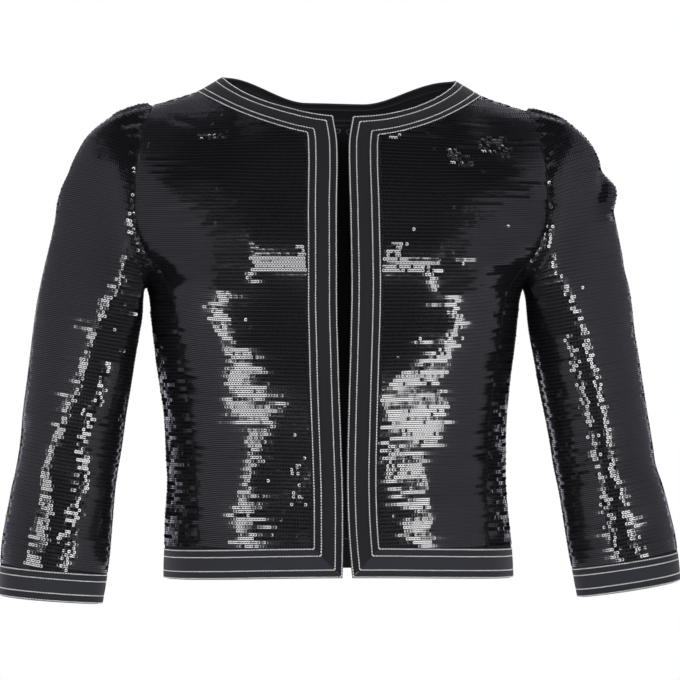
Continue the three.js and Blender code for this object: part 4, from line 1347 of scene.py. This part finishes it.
def metal_material(colours):
    def build(nodes):
        place = nodes.in_space()
        worn = nodes.noise(place, 700.0, 4.0, 0.6).between(0.6, 0.72)
        return {
            "Base Color": nodes.blend(worn, rgba(colours.metal), rgba(colours.bare_metal)),
            "Metallic": worn * 0.6 + 0.2,
            "Roughness": worn * -0.12 + 0.42,
            "Normal": nodes.bump(nodes.noise(place, 2600.0), 0.00003, 0.4),
        }
    return material("coated_wire", build)


# ---- Operators ----

def length(name, description, default):
    return FloatProperty(name=name, description=description, default=default, min=0.0,
                         subtype="DISTANCE", unit="LENGTH", precision=5)


def turn(name, description, degrees):
    return FloatProperty(name=name, description=description, default=math.radians(degrees),
                         subtype="ANGLE", unit="ROTATION")


def share_of(name, description, default):
    return FloatProperty(name=name, description=description, default=default, min=0.0,
                         subtype="FACTOR")


def colour(name, description, default):
    return FloatVectorProperty(name=name, description=description, default=default, size=3,
                               min=0.0, max=1.0, subtype="COLOR")


class JacketSizes(bpy.types.PropertyGroup):
    cloth_wall: length("Cloth", "Thickness of the sequinned cloth", 0.0016)
    band_wall: length("Bands", "Thickness of the bands", 0.0024)
    crease_strength: share_of("Creases", "Height of the creases, 1 as worn", 1.0)
    sequin_diameter: length("Sequin", "Diameter of a sequin", 0.0035)
    sequin_pitch: length("Sequin Pitch", "From one sequin to the next along a row", 0.0026)
    row_pitch: length("Row Pitch", "From one row of sequins to the next", 0.0036)
    sequin_lift: length("Sequin Lift", "How far sequins stand off the cloth", 0.0005)
    seam_margin: length("Seam Margin", "How far sequins stop short of a band", 0.0)
    overlap_tilt: turn("Overlap Tilt", "How far each sequin leans on the one before", 1.4)
    row_tilt: turn("Row Tilt", "How unevenly the rows lie", 2.2)
    sequin_tilt: turn("Sequin Tilt", "How unevenly the sequins lie", 0.6)
    loose_share: share_of("Loose Sequins", "Share of the sequins that hang loose", 0.02)
    stitch_length: length("Stitch", "Length of a stitch", 0.00205)
    stitch_pitch: length("Stitch Pitch", "From one stitch to the next", 0.0026)
    stitch_width: length("Thread", "Width of a stitch", 0.0013)
    groove: length("Stitch Groove", "How far the stitching sinks into the bands", 0.00035)


class JacketColours(bpy.types.PropertyGroup):
    sequin: colour("Sequins", "Colour of the sequins", (0.0078, 0.0078, 0.0098))
    ground: colour("Cloth", "Colour of the cloth under the sequins", (0.007, 0.007, 0.008))
    band: colour("Bands", "Colour of the bands", (0.0115, 0.0121, 0.0148))
    inside: colour("Inside", "Colour of the inside", (0.0095, 0.0098, 0.0115))
    thread: colour("Thread", "Colour of the topstitching", (0.9, 0.89, 0.85))
    metal: colour("Hook and Eye", "Colour of the hook and eye", (0.012, 0.012, 0.013))
    bare_metal: colour("Bare Wire", "Colour of the wire where its coat is worn", (0.14, 0.14, 0.145))
    floor: colour("Floor", "Colour of the floor", (0.9, 0.9, 0.87))


def kept(name, make):
    """A material that several operators share, made once."""
    return bpy.data.materials.get(name) or make(bpy.context.scene.jacket_colours)


def band_cloth(node):
    """The bands' cloth with its grain upright, or level as on the hem band and the cuffs; the level bands
    are painted lighter and the upright ones darker, as a painted sheen.
    """
    run = "level" if node.startswith(("hem", "cuff")) else "upright"
    name = f"band_cloth_{run}"
    return kept(name, lambda colours: band_material(name, colours, BAND_PAINTED_SHEEN[run]))


def sewn(sheet, points_mm, normals, wall, slot, outer):
    points_mm = trimmed(points_mm, sheet.ring)
    mesh = cloth_mesh(sheet.node + "_cloth", hung(points_mm), normals, sheet.ring)
    piece = show(sheet.node + "_cloth", mesh, slot, outer, kept("inside_cloth", inside_material))
    solidify(piece, wall)
    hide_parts(sheet.node)
    return piece


class JACKET_OT_panels(bpy.types.Operator):
    """Lays the sequinned cloth of the fronts, side panels, back and sleeves"""
    bl_idname = "jacket.panels"
    bl_label = "Panels and Sleeves"

    def execute(self, context):
        sizes = context.scene.jacket_sizes
        for sheet in PANELS + SLEEVES:
            grid, normals = sheet.grid(sizes.crease_strength)
            sewn(sheet, grid, normals, sizes.cloth_wall, "sequinned_cloth",
                 kept("sequin_ground", ground_material))
        return {"FINISHED"}


# A band's points across it, and how its stitching sinks it and the cloth between puffs up, in mm.
EDGE_ROOM = 0.35
GROOVE_ROWS = (-0.7, -0.35, 0, 0.35, 0.7)
BETWEEN_GROOVES = (3.1, 5.3, 10.5, 14.0, 17.5, 22.7, 24.9)
GROOVE_HALF = 0.5
PUFF = {"height": 0.22, "from_line": 3.2}
FOLDED_EDGE = {"width": 0.0006, "segments": 2, "sharper_than": 60}


def band_rows():
    """Shares across a band: close beside its edges and its lines of stitches."""
    near = [0.0, EDGE_ROOM, *(line + beside for line in STITCH_LINES for beside in GROOVE_ROWS),
            BAND - EDGE_ROOM, BAND, *BETWEEN_GROOVES]
    return np.unique([x / BAND for x in near if 0 <= x <= BAND])


class JACKET_OT_bands(bpy.types.Operator):
    """Lays the neck, front, hem and cuff bands, sunk along their stitching"""
    bl_idname = "jacket.bands"
    bl_label = "Bands"

    def execute(self, context):
        sizes = context.scene.jacket_sizes
        rows = band_rows()
        from_lines = np.abs(rows[:, None] * BAND - np.array(STITCH_LINES))
        sunk = (sizes.groove / MM * np.exp(-(from_lines / GROOVE_HALF) ** 2)).sum(1)
        puffed = PUFF["height"] * clamp(np.min(from_lines, 1) / PUFF["from_line"]) ** 0.5
        for sheet in BANDS:
            grid, normals = sheet.grid(sizes.crease_strength, rows)
            grid = grid + (puffed - sunk)[None, :, None] * normals
            piece = sewn(sheet, grid, normals, sizes.band_wall, "band_cloth", band_cloth(sheet.node))
            edge = piece.modifiers.new("Folded Edge", "BEVEL")
            edge.width, edge.segments = FOLDED_EDGE["width"], FOLDED_EDGE["segments"]
            edge.limit_method, edge.angle_limit = "ANGLE", math.radians(FOLDED_EDGE["sharper_than"])
            edge.material = 0
        return {"FINISHED"}


STITCH_SPREAD = {"length": 0.05, "width": 0.06, "aside": 0.05, "turn": 0.03}
STITCH_HEIGHT = 0.75  # of its width


class JACKET_OT_stitches(bpy.types.Operator):
    """Sews four lines of pale stitches along every band"""
    bl_idname = "jacket.stitches"
    bl_label = "Stitches"

    def execute(self, context):
        sizes = context.scene.jacket_sizes
        rng = np.random.default_rng(SEED)
        shape = stitch_shape()
        lift = (sizes.band_wall / 2 - sizes.groove + sizes.stitch_width / 4) / MM
        for sheet in BANDS:
            centres, along, across, up = (np.concatenate(v) for v in zip(*(
                stitched_line(sheet, line, sizes) for line in STITCH_LINES)))
            count = (len(centres), 1)
            half = sizes.stitch_length / 2 * rng.normal(1, STITCH_SPREAD["length"], count)
            width = sizes.stitch_width / 2 * rng.normal(1, STITCH_SPREAD["width"], count)
            centres = centres + lift * up + rng.normal(0, STITCH_SPREAD["aside"], count) * across
            along = unit(along + rng.normal(0, STITCH_SPREAD["turn"], count) * across)
            mesh = copies(sheet.node + "_stitches", shape, MM * centres, half * along,
                          width * np.cross(up, along), STITCH_HEIGHT * width * up)
            mesh.shade_smooth()
            show(sheet.node + "_stitches", mesh, "band_cloth", kept("stitch_thread", thread_material))
        return {"FINISHED"}


class JACKET_OT_sequins(bpy.types.Operator):
    """Sews rows of sequins on every panel and sleeve"""
    bl_idname = "jacket.sequins"
    bl_label = "Sequins"

    def execute(self, context):
        sizes = context.scene.jacket_sizes
        shape = sequin_shape()
        for number, part in enumerate(SEQUINNED):
            rng = np.random.default_rng(SEED + number)
            centres, along, across, up = lay_sequins(part, sizes, rng)
            radius = sizes.sequin_diameter / 2
            mesh = copies(part.node + "_sequins", shape, MM * centres, radius * along,
                          radius * across, radius * up)
            show(part.node + "_sequins", mesh, "sequinned_cloth",
                 kept("sequin_film", sequin_material))
        return {"FINISHED"}


class JACKET_OT_fastener(bpy.types.Operator):
    """Finishes the hook and the eye as black coated wire"""
    bl_idname = "jacket.fastener"
    bl_label = "Hook and Eye"

    def execute(self, context):
        coated = kept("coated_wire", metal_material)
        for node in ("hook", "eye"):
            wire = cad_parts[node]
            wire.data.materials.clear()
            wire.data.materials.append(coated)
        return {"FINISHED"}


class JACKET_OT_declare(bpy.types.Operator):
    """Looks up the sequins or the stitches of every sheet of cloth"""
    bl_idname = "jacket.declare"
    bl_label = "Cuts"

    def execute(self, context):
        for sheet in PANELS + SLEEVES + BANDS:
            trim = "_stitches" if sheet in BANDS else "_sequins"
            bpy.data.objects[sheet.node + trim]
        return {"FINISHED"}


CAMERA = {"distance": 4.6, "height": -0.249, "turn": -4.5, "aside": 0.001, "sensor": 36.0,
          "width": 0.6474, "sees": 50.0}
FLOOR = {"height": -1.35, "radius": 6.0, "sides": 96, "glow": 0.45}

# The studio's light by its direction, in degrees: round from straight before the jacket towards
# the wearer's left, and up. Each pair is where an edge of the light starts and ends.
DARK = {"left": (33, 35), "right": (28, 30), "widens_above": 10.0, "widens_by": 1.4,
        "more_on_left": 1.35, "leans_below": -8.0, "leans_by": 2.2, "leans_to": 22.0}
SIDES = {"strength": 0.56, "fades": (100, 165), "less": 0.18, "top": (36, 50), "dims": 0.85}
BEHIND = {"strength": 0.5, "middle": 9.0, "side": (128, 136), "up": (12, 24)}
OVER = {"strength": 0.3, "side": (25, 45), "up": (66, 74)}
HIDDEN = {"side": (150, 153), "top": (24, 34)}
LEAST_LIGHT = 0.008
TALL_LEFT = {"strength": 1.25, "from": 33.5, "to": 44, "top": (5, 6)}
TALL_RIGHT = {"strength": 0.95, "from": 29.5, "to": 39, "top": (7, 8)}
TALL = {"edge": 0.6, "bottom": (-24, -20)}
WIDE = {"strength": 0.85, "middle": 8.0, "bottom": (1.6, 2.6), "top": (11.5, 12.5), "arch": 0.004,
        "side": (31, 33)}
LAMP_STRENGTH, LAMP_TINT = 11.5, (0.96, 0.94, 1.1, 1.0)
LOW_BEHIND = {"strength": 0.8, "side": (110, 146, 8.0), "up": (-45, -1, 2.0)}
SLITS_BEHIND = {"strength": 2.0, "side": (143, 150, 0.6), "up": (-24, 6, 1.0)}
HIGH_BEHIND = {"strength": 3.0, "side": (150, 151), "up": (16, 23, 0.6)}
WHITE = (1.0, 1.0, 1.0, 1.0)
SKY_FINENESS = 2048  # how finely the light is told apart by direction when it is sampled


def strip(value, low, high, edge):
    """1 from low to high, with a soft edge on each side."""
    return value.between(low - edge, low + edge) * (1.0 - value.between(high - edge, high + edge))


def soft_light(around, height):
    """Soft light from the sides, behind and above, round a dark stretch in front."""
    away = around.math("ABSOLUTE")
    slant = (DARK["leans_below"] - height) * DARK["leans_by"]
    slant = slant.math("MAXIMUM", 0.0).math("MINIMUM", DARK["leans_to"])
    above = height.math("MAXIMUM", DARK["widens_above"])
    wider = (above - DARK["widens_above"]) * DARK["widens_by"]
    to_left = around - slant - wider * DARK["more_on_left"]
    to_right = around * -1.0 - slant - wider
    dark = (1.0 - to_left.between(*DARK["left"])) * (1.0 - to_right.between(*DARK["right"]))
    sides = ((SIDES["strength"] - away.between(*SIDES["fades"]) * SIDES["less"])
             * (1.0 - height.between(*SIDES["top"]) * SIDES["dims"]))
    behind = ((around - BEHIND["middle"]).math("ABSOLUTE").between(*BEHIND["side"])
              * height.between(*BEHIND["up"]) * BEHIND["strength"])
    over = away.between(*OVER["side"]) * height.between(*OVER["up"]) * OVER["strength"]
    hidden = away.between(*HIDDEN["side"]) * (1.0 - height.between(*HIDDEN["top"]))
    return sides * (1.0 - dark) * (1.0 - hidden) + behind + over + LEAST_LIGHT


def front_lamps(around, height):
    """A tall lamp on each side of the dark stretch and a wide, arched one across it."""
    def tall(side, lamp):
        return (strip(side, lamp["from"], lamp["to"], TALL["edge"])
                * (1.0 - height.between(*lamp["top"])) * lamp["strength"])

    past = around - WIDE["middle"]
    arched = height + past * past * WIDE["arch"]
    wide = (height.between(*WIDE["bottom"]) * (1.0 - arched.between(*WIDE["top"]))
            * (1.0 - around.math("ABSOLUTE").between(*WIDE["side"])) * WIDE["strength"])
    pair = tall(around, TALL_LEFT) + tall(around * -1.0, TALL_RIGHT)
    return pair * height.between(*TALL["bottom"]) + wide


def lamps_behind(around, height):
    away = around.math("ABSOLUTE")
    low = strip(away, *LOW_BEHIND["side"]) * strip(height, *LOW_BEHIND["up"])
    slits = strip(away, *SLITS_BEHIND["side"]) * strip(height, *SLITS_BEHIND["up"])
    high = away.between(*HIGH_BEHIND["side"]) * strip(height, *HIGH_BEHIND["up"])
    return (low * LOW_BEHIND["strength"] + slits * SLITS_BEHIND["strength"]
            + high * HIGH_BEHIND["strength"])


def studio(world, turned):
    """Lights the studio by direction, and shows the camera a plain white backdrop."""
    world.use_nodes = True
    nodes = Nodes(world.node_tree)
    x, y, z = nodes.split(nodes.add("ShaderNodeTexCoord", {}, {}, "Generated"))
    around = x.math("ARCTAN2", y * -1.0) * (180 / math.pi) - turned
    height = z.math("ARCSINE") * (180 / math.pi)
    lamps = front_lamps(around, height)
    strength = soft_light(around, height) + lamps * LAMP_STRENGTH + lamps_behind(around, height)
    tint = nodes.blend(lamps.math("MINIMUM", 1.0), LAMP_TINT, WHITE)
    seen = nodes.add("ShaderNodeLightPath", {}, {}, "Is Camera Ray")
    studio_light = nodes.add("ShaderNodeBackground", {}, {"Color": tint, "Strength": strength})
    backdrop = nodes.add("ShaderNodeBackground", {}, {"Color": WHITE, "Strength": 1.0})
    mixed = nodes.add("ShaderNodeMixShader", {}, {0: seen, 1: studio_light, 2: backdrop})
    nodes.add("ShaderNodeOutputWorld", {}, {"Surface": mixed})
    world.cycles.sampling_method = "MANUAL"
    world.cycles.sample_map_resolution = SKY_FINENESS


class JACKET_OT_stage(bpy.types.Operator):
    """Sets the camera, the studio's light and a plain pale floor"""
    bl_idname = "jacket.stage"
    bl_label = "Stage"

    def execute(self, context):
        scene = context.scene
        camera = bpy.data.objects.new("camera", bpy.data.cameras.new("camera"))
        scene.collection.objects.link(camera)
        turned = math.radians(CAMERA["turn"])
        back, right = (math.sin(turned), -math.cos(turned)), (math.cos(turned), math.sin(turned))
        distance, aside = CAMERA["distance"], CAMERA["aside"]
        camera.location = (distance * back[0] + aside * right[0],
                           distance * back[1] + aside * right[1], CAMERA["height"])
        camera.rotation_euler = (math.pi / 2, 0, turned)
        camera.data.sensor_width = CAMERA["sensor"]
        camera.data.lens = CAMERA["sensor"] * distance / CAMERA["width"]
        camera.data.clip_end = CAMERA["sees"]
        scene.camera = camera
        scene.world = bpy.data.worlds.new("studio")
        studio(scene.world, CAMERA["turn"])
        scene.view_settings.view_transform = "Standard"

        bm = bmesh.new()
        bmesh.ops.create_circle(bm, cap_ends=True, segments=FLOOR["sides"], radius=FLOOR["radius"])
        bmesh.ops.translate(bm, verts=bm.verts, vec=(0, 0, FLOOR["height"]))
        mesh = bpy.data.meshes.new("floor")
        bm.to_mesh(mesh)
        bm.free()
        floor = bpy.data.objects.new("floor", mesh)
        scene.collection.objects.link(floor)
        floor.visible_glossy = False
        pale = rgba(scene.jacket_colours.floor)
        mesh.materials.append(material("floor", lambda nodes: {
            "Base Color": pale, "Roughness": 0.8, "Specular IOR Level": 0.1,
            "Emission Color": pale, "Emission Strength": FLOOR["glow"]}))
        floor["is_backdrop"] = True
        return {"FINISHED"}


STEPS = (JACKET_OT_panels, JACKET_OT_bands, JACKET_OT_stitches, JACKET_OT_sequins,
         JACKET_OT_fastener, JACKET_OT_declare, JACKET_OT_stage)


class JACKET_PT_sidebar(bpy.types.Panel):
    bl_idname = "JACKET_PT_sidebar"
    bl_label = "Jacket"
    bl_space_type = "VIEW_3D"
    bl_region_type = "UI"
    bl_category = "Jacket"

    def draw(self, context):
        for settings in (context.scene.jacket_sizes, context.scene.jacket_colours):
            box = self.layout.box()
            for name in settings.bl_rna.properties.keys():
                if name not in ("rna_type", "name"):
                    box.prop(settings, name)
        for step in STEPS:
            self.layout.operator(step.bl_idname)


CLASSES = (JacketSizes, JacketColours, *STEPS, JACKET_PT_sidebar)


def register():
    for made in CLASSES:
        bpy.utils.register_class(made)
    bpy.types.Scene.jacket_sizes = PointerProperty(type=JacketSizes)
    bpy.types.Scene.jacket_colours = PointerProperty(type=JacketColours)


def unregister():
    del bpy.types.Scene.jacket_sizes, bpy.types.Scene.jacket_colours
    for made in reversed(CLASSES):
        bpy.utils.unregister_class(made)


def corners(box):
    return [list(map(float, corner)) for corner in box]


def main():
    cad_box = corners(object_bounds())
    register()
    for step in STEPS:
        group, name = step.bl_idname.split(".")
        getattr(getattr(bpy.ops, group), name)()
    bpy.context.view_layer.update()
    {"cad_box": cad_box, "visual_box": corners(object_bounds())}


if __name__ == "__main__":
    main()
